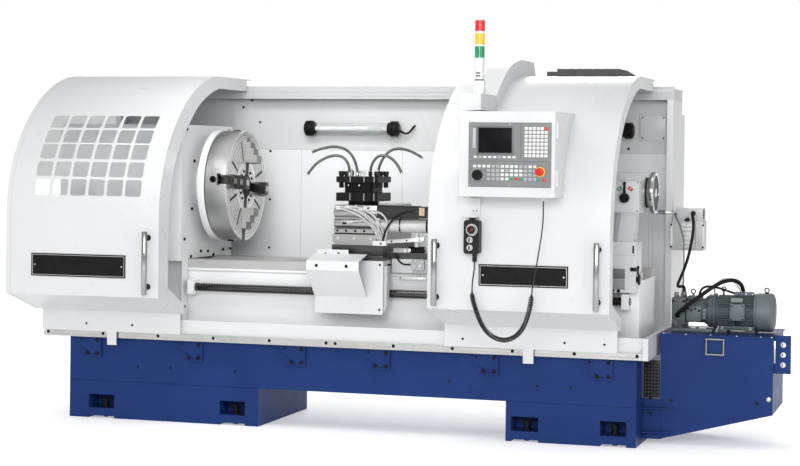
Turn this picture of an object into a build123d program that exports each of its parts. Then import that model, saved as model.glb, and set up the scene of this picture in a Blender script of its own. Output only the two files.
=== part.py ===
from build123d import *
import math
import os

os.makedirs("parts", exist_ok=True)

# ---------------------------------------------------------------- driving dimensions (mm)
BASE_L, BASE_D = 3247.0, 795.0          # footprint of the blue base
OX, OY = (-185.0 + 4013.0) / 2, (-645.0 + 1290.0) / 2   # origin: middle of the whole machine's plan, on the floor
SEAM_Z, BASE_TOP = 211.0, 462.0         # feet below, beam above
AX_Y, AX_Z = BASE_D / 2, 1322.0         # spindle axis
WAY_Z = 905.0                           # top of the bed ways
CHUCK_R, CHUCK_X0, CHUCK_X1 = 315.0, 781.0, 905.0
CHUCK_TURN = -7.0                       # chuck stands turned by this about X
DOOR_Y, DOOR_Z0, DOOR_TOP = -420.0, 724.0, 1950.0
T = 3.0                                 # sheet
LD_X0, LD_X1 = -185.0, 727.0            # left door
RD_X0, RD_X1 = 2230.0, 3177.0           # right door
TRAY_X0, TRAY_X1 = -136.0, 3315.0
SCREW_Y, SCREW_Z, SCREW_R = 100.0, 753.0, 24.0
TP_X, TP_Y = 1680.0, 200.0              # tool post axis
REAR_Y = 850.0                          # front of the rear frame


# ---------------------------------------------------------------- helpers
def bx(x1, x2, y1, y2, z1, z2):
    return Pos((x1 + x2) / 2 - OX, (y1 + y2) / 2 - OY, (z1 + z2) / 2) * Box(x2 - x1, y2 - y1, z2 - z1)


def cx(x1, x2, y, z, r):
    return Pos((x1 + x2) / 2 - OX, y - OY, z) * Rot(0, 90, 0) * Cylinder(r, x2 - x1)


def cy(y1, y2, x, z, r):
    return Pos(x - OX, (y1 + y2) / 2 - OY, z) * Rot(90, 0, 0) * Cylinder(r, y2 - y1)


def cz(z1, z2, x, y, r):
    return Pos(x - OX, y - OY, (z1 + z2) / 2) * Cylinder(r, z2 - z1)


def px(pts, x1, x2):
    p = [(x1 - OX, y - OY, z) for y, z in pts]
    return extrude(make_face(Polyline(*p, close=True)), amount=x2 - x1, dir=(1, 0, 0))


def py(pts, y1, y2):
    p = [(x - OX, y1 - OY, z) for x, z in pts]
    return extrude(make_face(Polyline(*p, close=True)), amount=y2 - y1, dir=(0, 1, 0))


def pz(pts, z1, z2):
    p = [(x - OX, y - OY, z1) for x, y in pts]
    return extrude(make_face(Polyline(*p, close=True)), amount=z2 - z1, dir=(0, 0, 1))


def fuse(first, *others):
    return first.fuse(*others) if others else first


def cut(first, *others):
    return first.cut(*others)


def one(shape):
    s = shape.solids() if hasattr(shape, "solids") else [shape]
    return s[0] if len(s) == 1 else Compound(children=list(s))


made = []


def save(name, shape, group=False):
    if isinstance(shape, (list, tuple)):
        flat = []
        for s in shape:
            flat += list(s.solids())
        shape = Compound(children=flat)
        n = len(flat)
    else:
        s = list(shape.solids())
        n = len(s)
        shape = s[0] if n == 1 else Compound(children=s)
    if n != 1 and not group:
        print("NOTE", name, "has", n, "solids")
    shape.label = name
    export_step(shape, f"parts/{name}.step")
    made.append((name, n, shape.volume))


def route(name, pts, radius, start=None):
    """A round cord along points: straight runs joined by arcs as large as the runs allow."""
    P = [Vector(x - OX, y - OY, z) for x, y, z in pts]
    radii, turns = [], []
    for a, b, c in zip(P, P[1:], P[2:]):
        u, v = b - a, c - b
        t = u.get_angle(v)
        turns.append(t)
        radii.append(0.45 * min(u.length, v.length) / math.tan(math.radians(t) / 2))
    wire = FilletPolyline(*P, radius=radii)
    print(name, "runs", [round((b - a).length) for a, b in zip(P, P[1:])], "turns", [round(t) for t in turns],
          "radii", [round(r) for r in radii])
    plane = Plane(origin=wire @ 0, z_dir=wire % 0)
    tube = sweep(plane * Circle(radius), path=wire)
    print(name, "length", round(wire.length), "volume ratio", round(tube.volume / (math.pi * radius ** 2 * wire.length), 4))
    return tube


# ---------------------------------------------------------------- hood section (y, z)
HN, HA, HB, HC = 1.85, 840.0, DOOR_TOP - 1182.0, 420.0


def hood_points(offset=0.0, a0=0.0, a1=90.0, n=15):
    pts = []
    for i in range(n):
        th = math.radians(a0 + (a1 - a0) * i / (n - 1))
        c, s = max(math.cos(th), 0.0), max(math.sin(th), 0.0)
        y, z = HC - HA * c ** (2 / HN), 1182.0 + HB * s ** (2 / HN)
        # normal of the curve from its implicit form, pointing outwards
        ny = -(c ** (2 / HN)) ** (HN - 1) / HA
        nz = (s ** (2 / HN)) ** (HN - 1) / HB
        ln = math.hypot(ny, nz)
        pts.append((y + offset * ny / ln, z + offset * nz / ln))
    return pts


def hood_edge(offset, x, a0=0.0, a1=90.0, n=15):
    p = [(x - OX, y - OY, z) for y, z in hood_points(offset, a0, a1, n)]
    return Spline(*p)


def strip_between(o1, o2, x1, x2, a0, a1, n=15):
    """Curved sheet between two offsets of the hood curve."""
    e1, e2 = hood_edge(o1, x1, a0, a1, n), hood_edge(o2, x1, a0, a1, n)
    f = make_face([e1, Line(e1 @ 1, e2 @ 1), e2, Line(e1 @ 0, e2 @ 0)])
    return extrude(f, amount=x2 - x1, dir=(1, 0, 0))


def hood_shell(x1, x2, y_back):
    """Top sheet, curved hood, front and sloping belly of one door, as one folded sheet."""
    def pt(y, z):
        return (x1 - OX, y - OY, z)
    outer, inner = hood_edge(0, x1), hood_edge(-T, x1)
    edges = [
        outer,
        Line(outer @ 1, pt(y_back, DOOR_TOP)), Line(pt(y_back, DOOR_TOP), pt(y_back, DOOR_TOP - T)),
        Line(pt(y_back, DOOR_TOP - T), inner @ 1), inner,
        Line(inner @ 0, pt(DOOR_Y + T, DOOR_Z0 + 2)), Line(pt(DOOR_Y + T, DOOR_Z0 + 2), pt(-72 - T, 612 + T + 1)),
        Line(pt(-72 - T, 612 + T + 1), pt(-72, 612 + T + 1)), Line(pt(-72, 612 + T + 1), pt(-72, 612)),
        Line(pt(-72, 612), pt(DOOR_Y, DOOR_Z0)), Line(pt(DOOR_Y, DOOR_Z0), outer @ 0),
    ]
    return extrude(make_face(edges), amount=x2 - x1, dir=(1, 0, 0))


def end_band(x1, x2, inner_pts, y_back=835.0):
    """End wall of a door: between the hood line and an inner line."""
    def pt(y, z):
        return (x1 - OX, y - OY, z)
    outer = hood_edge(-0.5, x1)
    ins = Spline(*[pt(*q) for q in inner_pts])
    edges = [outer, Line(outer @ 1, pt(y_back, DOOR_TOP - 0.5)), Line(pt(y_back, DOOR_TOP - 0.5), pt(y_back, inner_pts[0][1])),
             Line(pt(y_back, inner_pts[0][1]), ins @ 0), ins,
             Line(ins @ 1, pt(-60, 664)), Line(pt(-60, 664), pt(-60, 609)), Line(pt(-60, 609), pt(DOOR_Y + 0.5, DOOR_Z0 + 0.5)),
             Line(pt(DOOR_Y + 0.5, DOOR_Z0 + 0.5), outer @ 0)]
    return extrude(make_face(edges), amount=x2 - x1, dir=(1, 0, 0))


WIDE_BAND = [(410, 1880), (198, 1815), (85, 1754), (-12, 1676), (-126, 1566), (-218, 1429), (-262, 1298), (-286, 1125),
             (-290, 900), (-290, 768)]
SLIM_BAND = [(410, 1884), (250, 1846), (110, 1786), (-40, 1697), (-165, 1578), (-258, 1440), (-306, 1310), (-334, 1130),
             (-338, 900), (-338, 768)]

# ================================================================= base
POCKETS = [(119, 276), (918, 1069), (2580, 2728), (3058, 3196)]
base = fuse(bx(0, BASE_L, 0, BASE_D, SEAM_Z, BASE_TOP), bx(0, 1149, 0, BASE_D, 0, SEAM_Z), bx(2551, BASE_L, 0, BASE_D, 0, SEAM_Z))
tools = [bx(1189, 2511, 40, BASE_D - 40, SEAM_Z, 430)]
for a, b in POCKETS:
    for y0 in (-1, BASE_D - 130):
        tools.append(bx(a, b, y0, y0 + 131, 56, 133))
        tools.append(bx(a, b, y0, y0 + 131, -1, 12))
        tools.append(cz(-1, 57, (a + b) / 2, y0 + 1 + (62 if y0 < 0 else 68), 14))
for a, b in ((0, 1149), (2551, BASE_L)):
    tools.append(bx(a - 1, b + 1, -1, 2.5, SEAM_Z - 2, SEAM_Z + 2))
BR = [117, 736, 1344, 1828, 2430, 3042]
bolts, bolt_holes = [], []
for b in BR:
    for bxx, bzz in ((b, 367), (b + 60, 367), (b + 60, 441)):
        bolts.append(fuse(cy(-25, -14, bxx, bzz, 10), cy(-14, 16, bxx, bzz, 5.9)))
        bolt_holes.append(cy(-15, 17, bxx, bzz, 6))
base = cut(base, *tools, *bolt_holes)
save("base_frame", base)

lev = []
for a, b in POCKETS:
    for yy in (62, BASE_D - 61):
        x = (a + b) / 2
        hexa = Pos(x - OX, yy - OY, 56) * extrude(RegularPolygon(21, 6), 18)
        head = Pos(x - OX, yy - OY, 92) * extrude(RegularPolygon(19, 6), 16)
        lev.append(fuse(cz(0, 92, x, yy, 13.5), hexa, head))
save("levelling_screws", lev, True)

br = []
for b in BR:
    plate = py([(b - 57, 460), (b + 81, 460), (b + 81, 345), (b - 18, 345), (b - 34, 372), (b - 57, 415)], -14, 0)
    br.append(cut(plate, *[h for h in bolt_holes[3 * BR.index(b):3 * BR.index(b) + 3]]))
save("tray_brackets", br, True)

# ================================================================= tray and rail
RAIL_SC = [-110, 231, 567, 899, 1230, 1559, 1611, 1941, 2269, 2597, 2928, 3258]
rail_holes = [cy(-59, -41, x, 484, 4.5) for x in RAIL_SC]
rail_cb = [cy(-59, -52, x, 484, 9) for x in RAIL_SC]
rail_scr = [fuse(cy(-58, -52, x, 484, 8.8), cy(-52, -42, x, 484, 4.4)) for x in RAIL_SC]
tray = [bx(TRAY_X0, TRAY_X1, -46, 1180, 462, 468), cut(bx(TRAY_X0, TRAY_X1, -46, -42, 468, 577), *rail_holes),
        bx(TRAY_X0 + 28, TRAY_X1 - 28, -42, -18, 573, 577), bx(TRAY_X0, TRAY_X0 + 28, -42, 840, 468, 577),
        bx(TRAY_X1 - 28, TRAY_X1, -42, 840, 468, 577), bx(TRAY_X1 - 28, TRAY_X1, -58, -46, 462, 577),
        bx(TRAY_X0, TRAY_X1, 1176, 1180, 468, 577)]
save("chip_tray", tray, True)
rail = cut(bx(TRAY_X0, TRAY_X1 - 28, -58, -46, 462, 500), *rail_holes, *rail_cb)
save("front_rail", rail)

# ================================================================= bed, ballscrew
bed = px([(150, 468), (645, 468), (645, 838), (655, 848), (655, WAY_Z), (545, WAY_Z), (545, 858), (250, 858), (250, WAY_Z), (140, WAY_Z),
          (140, 848), (150, 838)], -60, 3230)
bed = fuse(bed, bx(689, 727, 62, 150, 713, 794), bx(3150, 3188, 62, 150, 713, 794))
bed = cut(bed, cx(688, 728, SCREW_Y, SCREW_Z, 20.05), cx(3149, 3189, SCREW_Y, SCREW_Z, 20.05))
save("bed", bed)
save("z_ballscrew", fuse(cx(727.5, 3149.5, SCREW_Y, SCREW_Z, SCREW_R), cx(683, 727.5, SCREW_Y, SCREW_Z, 20), cx(3149.5, 3194, SCREW_Y, SCREW_Z, 20)))

# ================================================================= headstock and its covers
head = bx(10, 640, 150, 645, WAY_Z, 1510)
head = fillet(head.edges().filter_by(Axis.X).group_by(Axis.Z)[-1], 70)
head = cut(head, cx(5, 645, AX_Y, AX_Z, 66.05))
save("headstock", head)
# wide over the bed, narrower beside it; the hole in the end wall lets bar stock in behind the spindle
cover = fuse(bx(-90, 655, 35, 789, 900, 1665), bx(-90, 655, 128, 789, 468, 901))
cover = cut(cover, bx(-86, 656, 39, 790, 904, 1661), bx(-86, 656, 132, 790, 467, 905), cx(-95, -80, AX_Y, AX_Z, 70))
save("headstock_cover", cover)
GUARD_SC = [(211, 1461), (181, 1189), (174, 919), (317, 943), (422, 938), (504, 915), (654, 938), (765, 938), (100, 1640), (720, 1640), (80, 1020),
            (760, 1250), (90, 640)]
g_holes = [cx(650, 664, y, z, 4.5) for y, z in GUARD_SC]
g_scr = [fuse(cx(659, 666, y, z, 8.5), cx(655, 659, y, z, 4.4)) for y, z in GUARD_SC]
# flat plate, and a dished shield on a short neck close behind the chuck
guard = fuse(bx(655, 659, 35, 789, 900, 1665), bx(655, 659, 60, 789, 468, 901), cx(658, 742, AX_Y, AX_Z, 162), cx(736, 775, AX_Y, AX_Z, 322))
guard = cut(guard, cx(650, 790, AX_Y, AX_Z, 150), cx(742, 790, AX_Y, AX_Z, 312), bx(650, 662, 138, 657, 460, 907), *g_holes)
save("chuck_guard", guard)
save("frame_screws", bolts + rail_scr + g_scr, True)

# ================================================================= spindle, chuck, jaws
turn = Pos(0, AX_Y - OY, AX_Z) * Rot(CHUCK_TURN, 0, 0) * Pos(0, -(AX_Y - OY), -AX_Z)
spindle = fuse(cx(-20, 655, AX_Y, AX_Z, 66), cx(655, CHUCK_X0, AX_Y, AX_Z, 140))
spindle = cut(spindle, cx(-25, CHUCK_X0 + 5, AX_Y, AX_Z, 52))
save("spindle", spindle)

chuck = cx(CHUCK_X0, CHUCK_X1, AX_Y, AX_Z, CHUCK_R)
chuck = chamfer(chuck.edges().sort_by(Axis.X)[-1], 4)
ct = [cx(CHUCK_X0 - 5, CHUCK_X1 + 5, AX_Y, AX_Z, 52)]
for r in (150, 175, 200, 225, 250, 275):
    ct.append(cut(cx(CHUCK_X1 - 2, CHUCK_X1 + 1, AX_Y, AX_Z, r + 1.5), cx(CHUCK_X1 - 3, CHUCK_X1 + 2, AX_Y, AX_Z, r - 1.5)))
SLOT_W, JAW_W, JS_X = 50.0, 49.0, 829.0


def spin(shape, deg):
    return Pos(0, AX_Y - OY, AX_Z) * Rot(deg, 0, 0) * Pos(0, -(AX_Y - OY), -AX_Z) * shape


# slot, jaw and screw of the upper station, then turned to the other three
slot = fuse(bx(852, CHUCK_X1 + 1, AX_Y - SLOT_W / 2, AX_Y + SLOT_W / 2, AX_Z + 62, AX_Z + CHUCK_R + 5),
            bx(850, 872, AX_Y - 34, AX_Y + 34, AX_Z + 62, AX_Z + CHUCK_R + 5),
            bx(806, 852, AX_Y - 23, AX_Y + 23, AX_Z + 62, AX_Z + 300), cz(AX_Z + 299, AX_Z + CHUCK_R + 5, JS_X, AX_Y, 19))
tslot = bx(CHUCK_X1 - 26, CHUCK_X1 + 1, AX_Y - 7, AX_Y + 7, AX_Z + 150, AX_Z + 262)
JR0, JR1 = 130.0, 250.0
jaw = fuse(bx(850.3, CHUCK_X1 + 0.4, AX_Y - JAW_W / 2, AX_Y + JAW_W / 2, AX_Z + JR0, AX_Z + JR1),
           bx(850.3, 871.6, AX_Y - 33.5, AX_Y + 33.5, AX_Z + JR0, AX_Z + JR1),
           bx(CHUCK_X1 + 0.4, CHUCK_X1 + 26, AX_Y - 36, AX_Y + 36, AX_Z + JR0, AX_Z + JR1),
           bx(CHUCK_X1 + 26, CHUCK_X1 + 48, AX_Y - 36, AX_Y + 36, AX_Z + JR0, AX_Z + JR0 + 82),
           bx(CHUCK_X1 + 48, CHUCK_X1 + 70, AX_Y - 36, AX_Y + 36, AX_Z + JR0, AX_Z + JR0 + 44))
js = fuse(cz(AX_Z + 64, AX_Z + 298, JS_X, AX_Y, 20), cz(AX_Z + 298, AX_Z + CHUCK_R + 6, JS_X, AX_Y, 18.9))
js = cut(js, Pos(JS_X - OX, AX_Y - OY, AX_Z + CHUCK_R - 18) * Box(15, 15, 60))
for k in range(4):
    ct.append(spin(slot, 90 * k))
for a in (25, 65, 115, 155, 205, 245, 295, 335):
    ct.append(spin(tslot, a))
chuck = cut(chuck, *ct)
save("chuck_body", turn * chuck)
for k in range(4):
    save(f"chuck_jaw_{k + 1}", turn * spin(jaw, 90 * k))
save("jaw_screws", [turn * spin(js, 90 * k) for k in range(4)], True)

# ================================================================= rear frame and panels
rear = fuse(bx(TRAY_X0, 3290, REAR_Y, REAR_Y + 50, 1836, 1900), bx(TRAY_X0, 3290, REAR_Y + 50, 1180, 1892, 1900),
            bx(3255, 3290, REAR_Y, 1176, 468, 1836), bx(TRAY_X0, TRAY_X0 + 35, REAR_Y, 1176, 468, 1836),
            bx(TRAY_X0, 3290, 1170, 1176, 577, 1892), bx(-60, 3290, 1176, 1290, 600, 1760), bx(TRAY_X0, 3290, 884, 892, 1900, 1911), bx(3286, 3290, REAR_Y + 50, 1170, 1836, 1893))
rear = cut(rear, bx(TRAY_X0 + 30, 3284, REAR_Y - 1, REAR_Y + 3, 1850, 1853), bx(TRAY_X0 + 30, 3284, REAR_Y - 1, REAR_Y + 4, 1872, 1878))
save("rear_frame", rear)
pan = [bx(-101, 3255, 956, 960, 1536, 1836)]
for a, b in ((-101, 1036), (1040, 1670), (1674, 2498), (2502, 3255)):
    pan.append(fuse(bx(a, b, 956, 960, 468, 1532), bx(max(a, 830) + 46, b - 46, 953, 956, 640, 1486)))
pan.append(bx(3085, 3235, 948, 956, 1607, 1753))
save("back_panels", pan, True)
lamps = []
for a, b in ((1081, 1667), (2474, 3060)):
    z, y = 1662, 898
    cap1, cap2 = cx(a, a + 66, y, z, 46), cx(b - 66, b, y, z, 46)
    lamp = fuse(cap1, cap2, cx(a + 66, b - 66, y, z, 33), bx(a + 15, a + 50, y, 956, z - 16, z + 16), bx(b - 50, b - 15, y, 956, z - 16, z + 16))
    lamps.append(lamp)
save("work_lights", lamps, True)

# ================================================================= tank and hydraulic unit
tank = py([(3339, 584), (3925, 584), (3925, 180), (3339, 26)], 200, 746)
tank = fuse(tank, bx(3247, 3345, 192, 202, 26, 240), pz([(3247, 145), (3247, 195), (3440, 201)], 186, 192),
            pz([(3247, 145), (3247, 195), (3430, 201)], 60, 66), bx(3920, 4013, 226, 232, 396, 595),
            bx(3330, 3934, 196, 750, 578, 584), bx(3584, 3594, 188, 200, 556, 572), bx(3654, 3664, 188, 200, 556, 572))
tank = cut(tank, *[cy(220, 240, 3974, z, 9) for z in (442, 494, 546)], cx(3575, 3673, 193, 564, 5.3))
save("coolant_tank", tank)
bail = fuse(cx(3574, 3674, 193, 564, 5), cz(484, 564, 3579, 193, 5), cz(484, 564, 3669, 193, 5), cx(3574, 3674, 193, 484, 5))
save("tank_handle", bail)

PM_Y, PM_Z = 450.0, 694.0
pump = fuse(bx(3372, 3585, 372, 528, 584, 600), bx(3366, 3440, 384, 516, 600, 762), cx(3440, 3560, PM_Y, PM_Z, 66), cx(3560, 3586, PM_Y, PM_Z, 88),
            cz(762, 790, 3386, 420, 12), cz(762, 790, 3420, 480, 12), cy(366, 384, 3398, 672, 17))
save("hydraulic_pump", pump)
mot = fuse(cx(3586, 3602, PM_Y, PM_Z, 96), cx(3602, 3806, PM_Y, PM_Z, 88), cx(3806, 3908, PM_Y, PM_Z, 103),
           bx(3622, 3662, 370, 530, 584, 622), bx(3762, 3802, 370, 530, 584, 622), bx(3680, 3760, 330, 380, 652, 742))
save("pump_motor", mot)

lube = fuse(bx(3296, 3474, 805, 925, 996, 1160), bx(3302, 3468, 811, 919, 1160, 1232), bx(3290, 3296, 855, 915, 1010, 1150),
            cy(789, 811, 3415, 1204, 13), cy(792, 811, 3384, 1168, 11))
save("lube_unit", lube)

hose = route("hydraulic_hose", [(3398, 366, 672), (3398, 340, 672), (3414, 318, 690), (3446, 306, 716), (3478, 302, 742), (3516, 304, 771), (3556, 312, 802),
                                (3596, 330, 832), (3636, 356, 856), (3676, 392, 866), (3708, 432, 858), (3726, 470, 836), (3732, 492, 810), (3733, 500, 784)], 11)
save("hydraulic_hose", hose)
lh = route("lube_hose", [(3415, 789, 1204), (3415, 771, 1204), (3418, 757, 1188), (3425, 750, 1161), (3426, 744, 1128), (3424, 737, 1090), (3419, 727, 1048),
                         (3413, 715, 1006), (3405, 698, 964), (3396, 674, 922), (3386, 640, 884), (3378, 600, 852), (3372, 560, 828), (3376, 522, 812),
                         (3396, 495, 815), (3413, 483, 818), (3420, 480, 807), (3420, 480, 790)], 8)
save("lube_hose", lh)

# ================================================================= left door
RU = DOOR_TOP - T


def hangers(x1, x2):
    out = []
    for x in (x1 + 70, x2 - 70):
        out += [bx(x - 28, x + 28, 872, 876, 1920, RU + 0.5), bx(x - 28, x + 28, 900, 904, 1920, RU + 0.5), cy(872, 904, x, 1931, 19.5)]
    return out


ld = fuse(hood_shell(LD_X0, LD_X1, 910), end_band(LD_X1 - T, LD_X1, WIDE_BAND), end_band(LD_X0, LD_X0 + T, SLIM_BAND),
          bx(LD_X0 + 46, LD_X1 - 18, -75, -72, 498, 616), bx(LD_X0 + 46, LD_X1 - 18, -72, -60, 612, 616),
          bx(265, 321, -75, -72, 424, 500), bx(265, 321, -75, -64, 424, 427), *hangers(LD_X0, LD_X1))
# five rows of six panes, cut square to the hood
cuts = []
ROWS = [(1707, 1638), (1627, 1555), (1546, 1467), (1451, 1369), (1355, 1267)]
dense = hood_points(0, 0, 90, 721)


def at_z(z):
    return min(dense, key=lambda q: abs(q[1] - z))


WX0, WP, WW = -25.0, 109.2, 93.0
for za, zb in ROWS:
    a, b = at_z(za), at_z(zb)
    my, mz = (a[0] + b[0]) / 2, (a[1] + b[1]) / 2
    h = math.hypot(a[0] - b[0], a[1] - b[1])
    up = Vector(0, (a[0] - b[0]) / h, (a[1] - b[1]) / h)
    out = Vector(1, 0, 0).cross(up)
    pl = Plane(origin=(WX0 + WW / 2 - OX, my - OY, mz) , x_dir=(1, 0, 0), z_dir=(out.X, out.Y, out.Z))
    sk = Sketch() + [pl * Pos(WP * i, 0) * RectangleRounded(WW, h, 12) for i in range(6)]
    cuts.append(extrude(sk, amount=30, both=True))
ld = cut(ld, *cuts)
save("left_door", ld)
aw0 = math.degrees(math.asin(((1235 - 1182) / HB) ** (HN / 2)))
aw1 = math.degrees(math.asin(((1740 - 1182) / HB) ** (HN / 2)))
save("left_window", strip_between(-T - 0.3, -T - 4.3, -52, 648, aw0, aw1, 9))


def handle(x):
    return fuse(cz(742, 1084, x, -470, 15), cy(-460, DOOR_Y, x, 1048, 9), cy(-460, DOOR_Y, x, 784, 9), cy(-424, DOOR_Y, x, 1048, 16), cy(-424, DOOR_Y, x, 784, 16))


save("left_handle", handle(667))
save("left_plate", bx(-28, 535, -424, DOOR_Y, 825, 949))

# ================================================================= right door, duct, control box
rd = fuse(hood_shell(RD_X0, RD_X1, 910), end_band(RD_X1 - T, RD_X1, SLIM_BAND), end_band(RD_X0, RD_X0 + T, SLIM_BAND),
          bx(RD_X0, RD_X1 - 20, -75, -72, 498, 616), bx(RD_X0, RD_X1 - 20, -72, -60, 612, 616),
          bx(2658, 2714, -75, -72, 424, 500), bx(2658, 2714, -75, -64, 424, 427), *hangers(RD_X0, RD_X1))
DU_X0, DU_X1 = 2405.0, 2520.0
ad0 = math.degrees(math.asin(((1752 - 1182) / HB) ** (HN / 2)))


def duct_solid():
    x1 = DU_X0
    e1, e2 = hood_edge(-2, x1, ad0, 90, 11), hood_edge(90, x1, ad0, 90, 11)

    def pt(y, z):
        return Vector(x1 - OX, y - OY, z)
    q1, q2 = pt(760, DOOR_TOP - 2), pt(700, DOOR_TOP + 90)
    edges = [e1, Line(e1 @ 1, q1), Line(q1, q2), Line(q2, e2 @ 1), e2, Line(e2 @ 0, e1 @ 0)]
    return extrude(make_face(edges), amount=DU_X1 - x1, dir=(1, 0, 0))


def hood_block(x1, x2, off):
    """Solid that fills the hood, used to trim what stands on it."""
    e = hood_edge(off, x1)

    def pt(y, z):
        return Vector(x1 - OX, y - OY, z)
    edges = [e, Line(e @ 1, pt(700, (e @ 1).Z)), Line(pt(700, (e @ 1).Z), pt(700, 1100)), Line(pt(700, 1100), pt(DOOR_Y - off, 1100)),
             Line(pt(DOOR_Y - off, 1100), e @ 0)]
    return extrude(make_face(edges), amount=x2 - x1, dir=(1, 0, 0))


blk = hood_block(2300, 3100, 0.1)
foot_box = cut(bx(DU_X0 - 10, DU_X1 - 10, -450, 60, 1743, 1827), hood_block(2300, 3100, -1))
hook = fuse(bx(2395, 2508, -424, DOOR_Y + 1, 1196, 1296), bx(2440, 2500, -452, -424, 1196, 1200), bx(2440, 2500, -452, -449, 1200, 1212))
rd = fuse(fuse(fuse(rd, duct_solid()), foot_box), hook)
save("right_door", rd)
BXA, BXB, BZA, BZB, BYF = 2443.0, 2931.0, 1307.0, 1733.0, -590.0
box = cut(bx(BXA, BXB, BYF, 0, BZA, BZB), bx(BXA + 4, BXB - 4, BYF - 1, 1, BZA + 4, BZB - 4), blk)
box = fuse(box, bx(BXB, BXB + 3, BYF, BYF + 16, 1350, 1450), bx(BXB, BXB + 3, BYF, BYF + 16, 1590, 1690),
           cz(1290, BZA, 2856, -520, 11))
save("control_box", box)
HGX, HGY = BXB + 9.0, BYF - 6.0
cdoor = fuse(bx(BXA, BXB, BYF - 16, BYF - 0.5, BZA, BZB), bx(2492, 2913, BYF - 19, BYF - 16, 1356, 1677),
             cz(1360, 1440, HGX, HGY, 5), cz(1600, 1680, HGX, HGY, 5), bx(BXB - 1, HGX, HGY - 2, HGY + 2, 1360, 1440), bx(BXB - 1, HGX, HGY - 2, HGY + 2, 1600, 1680))
ES_X, ES_Z, OV_X, OV_Z = 2859.0, 1434.0, 2540.0, 1415.0
FACE = BYF - 19
cdoor = fuse(cdoor, cut(cy(FACE - 3, FACE, ES_X, ES_Z, 29), cy(FACE - 4, FACE + 1, ES_X, ES_Z, 12)))
cdoor = cut(cdoor, cy(FACE - 5, BYF, ES_X, ES_Z, 8.05), cy(FACE - 1, BYF, OV_X, OV_Z, 6.05))
save("control_door", cdoor)
es = fuse(cy(FACE - 32, FACE - 12, ES_X, ES_Z, 20), cy(FACE - 12, FACE + 12, ES_X, ES_Z, 8))
es = fillet(es.edges().sort_by(Axis.Y)[0], 6)
save("e_stop", es)
ov = fuse(cy(FACE - 26, FACE - 0.6, OV_X, OV_Z, 25), cy(FACE - 0.6, FACE + 12, OV_X, OV_Z, 6))
ov = fuse(ov, bx(OV_X - 4, OV_X + 4, FACE - 36, FACE - 26, OV_Z - 23, OV_Z + 23))
save("override_knob", ov)
TW_X, TW_Y = 2470.0, -330.0
tower = [bx(TW_X - 28, TW_X + 28, TW_Y - 20, TW_Y + 20, 1827, 1903), cz(1903, 2008, TW_X, TW_Y, 25), cz(2008, 2013, TW_X, TW_Y, 27), cz(2013, 2072, TW_X, TW_Y, 25),
         cz(2072, 2081, TW_X, TW_Y, 27), cz(2081, 2139, TW_X, TW_Y, 25), cz(2139, 2149, TW_X, TW_Y, 27), cz(2149, 2206, TW_X, TW_Y, 25), cz(2206, 2217, TW_X, TW_Y, 26)]
save("signal_tower", tower, True)
save("right_handles", [handle(2279), handle(3118)], True)
save("right_plate", bx(2503, 2966, -424, DOOR_Y, 849, 959))

# pendant on its hook plate
PD = bx(2438, 2518, -486, -432, 1013, 1184)
PD = fillet(PD.edges().filter_by(Axis.Y), 14)
PD = fuse(PD, cz(973, 1013, 2490, -459, 12), bx(2455, 2485, -448.5, -432, 1184, 1195.5))
PDX, PDZ, S1, S2 = 2480.0, 1135.0, (2470.0, 1084.0), (2470.0, 1044.0)
PD = cut(PD, cy(-487, -470, PDX, PDZ, 5.05), cy(-487, -470, *S1, 3.05), cy(-487, -470, *S2, 3.05))
save("pendant", PD)
save("pendant_dial", fuse(cy(-500, -486.4, PDX, PDZ, 25), cy(-486.4, -472, PDX, PDZ, 5), cy(-510, -500, PDX - 14, PDZ + 8, 5)))
for i, s in enumerate((S1, S2)):
    save(f"pendant_selector_{i + 1}", fuse(cy(-494, -486.4, *s, 11), cy(-486.4, -472, *s, 3), bx(s[0] - 3, s[0] + 3, -502, -494, s[1] - 10, s[1] + 10)))
lead = route("pendant_lead", [(2490, -459, 973), (2490, -459, 950), (2488, -460.5, 921), (2483, -462.5, 886), (2480, -463.5, 852), (2480, -463.5, 822)], 4.5)
save("pendant_lead", lead)
COIL = [(2480, -463.5, 822), (2480, -463.5, 796), (2490, -465, 762), (2505, -466, 720), (2522, -467, 678), (2546, -469, 637), (2580, -471, 604), (2618, -473, 586),
        (2656, -475, 581), (2694, -477, 592), (2728, -480, 616), (2754, -483, 652), (2772, -486, 696), (2785, -489, 742), (2793, -492, 785), (2797, -494, 820)]
save("pendant_coil", route("pendant_coil", COIL, 14))
save("pendant_tail", route("pendant_tail", [(2797, -494, 820), (2800.43, -495.714, 850), (2808, -499, 889), (2817, -503, 934), (2826, -507, 986), (2836, -511, 1044), (2846, -515, 1104),
                                            (2854, -518, 1164), (2857, -519.5, 1218), (2856, -520, 1258), (2856, -520, 1290)], 4.5))

links = []
CH_P = 50.0
for i in range(7):
    x = 2704 + CH_P * i
    links.append(fuse(bx(x, x + 46, 472, 478, 1952, 1994), bx(x, x + 46, 532, 538, 1952, 1994), bx(x + 10, x + 34, 472, 538, 1988, 1994), bx(x + 10, x + 34, 472, 538, 1952, 1956),
                      cy(470, 474, x + 48, 1973, 10), cy(536, 540, x + 48, 1973, 10), bx(x + 40, x + 52, 478, 480, 1960, 1986), bx(x + 40, x + 52, 530, 532, 1960, 1986)))
links.append(py([(3056, 1952), (3142, 1952), (3128, 1962), (3092, 1984), (3056, 1992)], 472, 538))
chain = fuse(links[0], *links[1:-1], bx(3050, 3057, 480, 530, 1960, 1984), links[-1], bx(2640, 2718, 500, 512, 1950.1, 1980))
save("drag_chain", chain)

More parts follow.
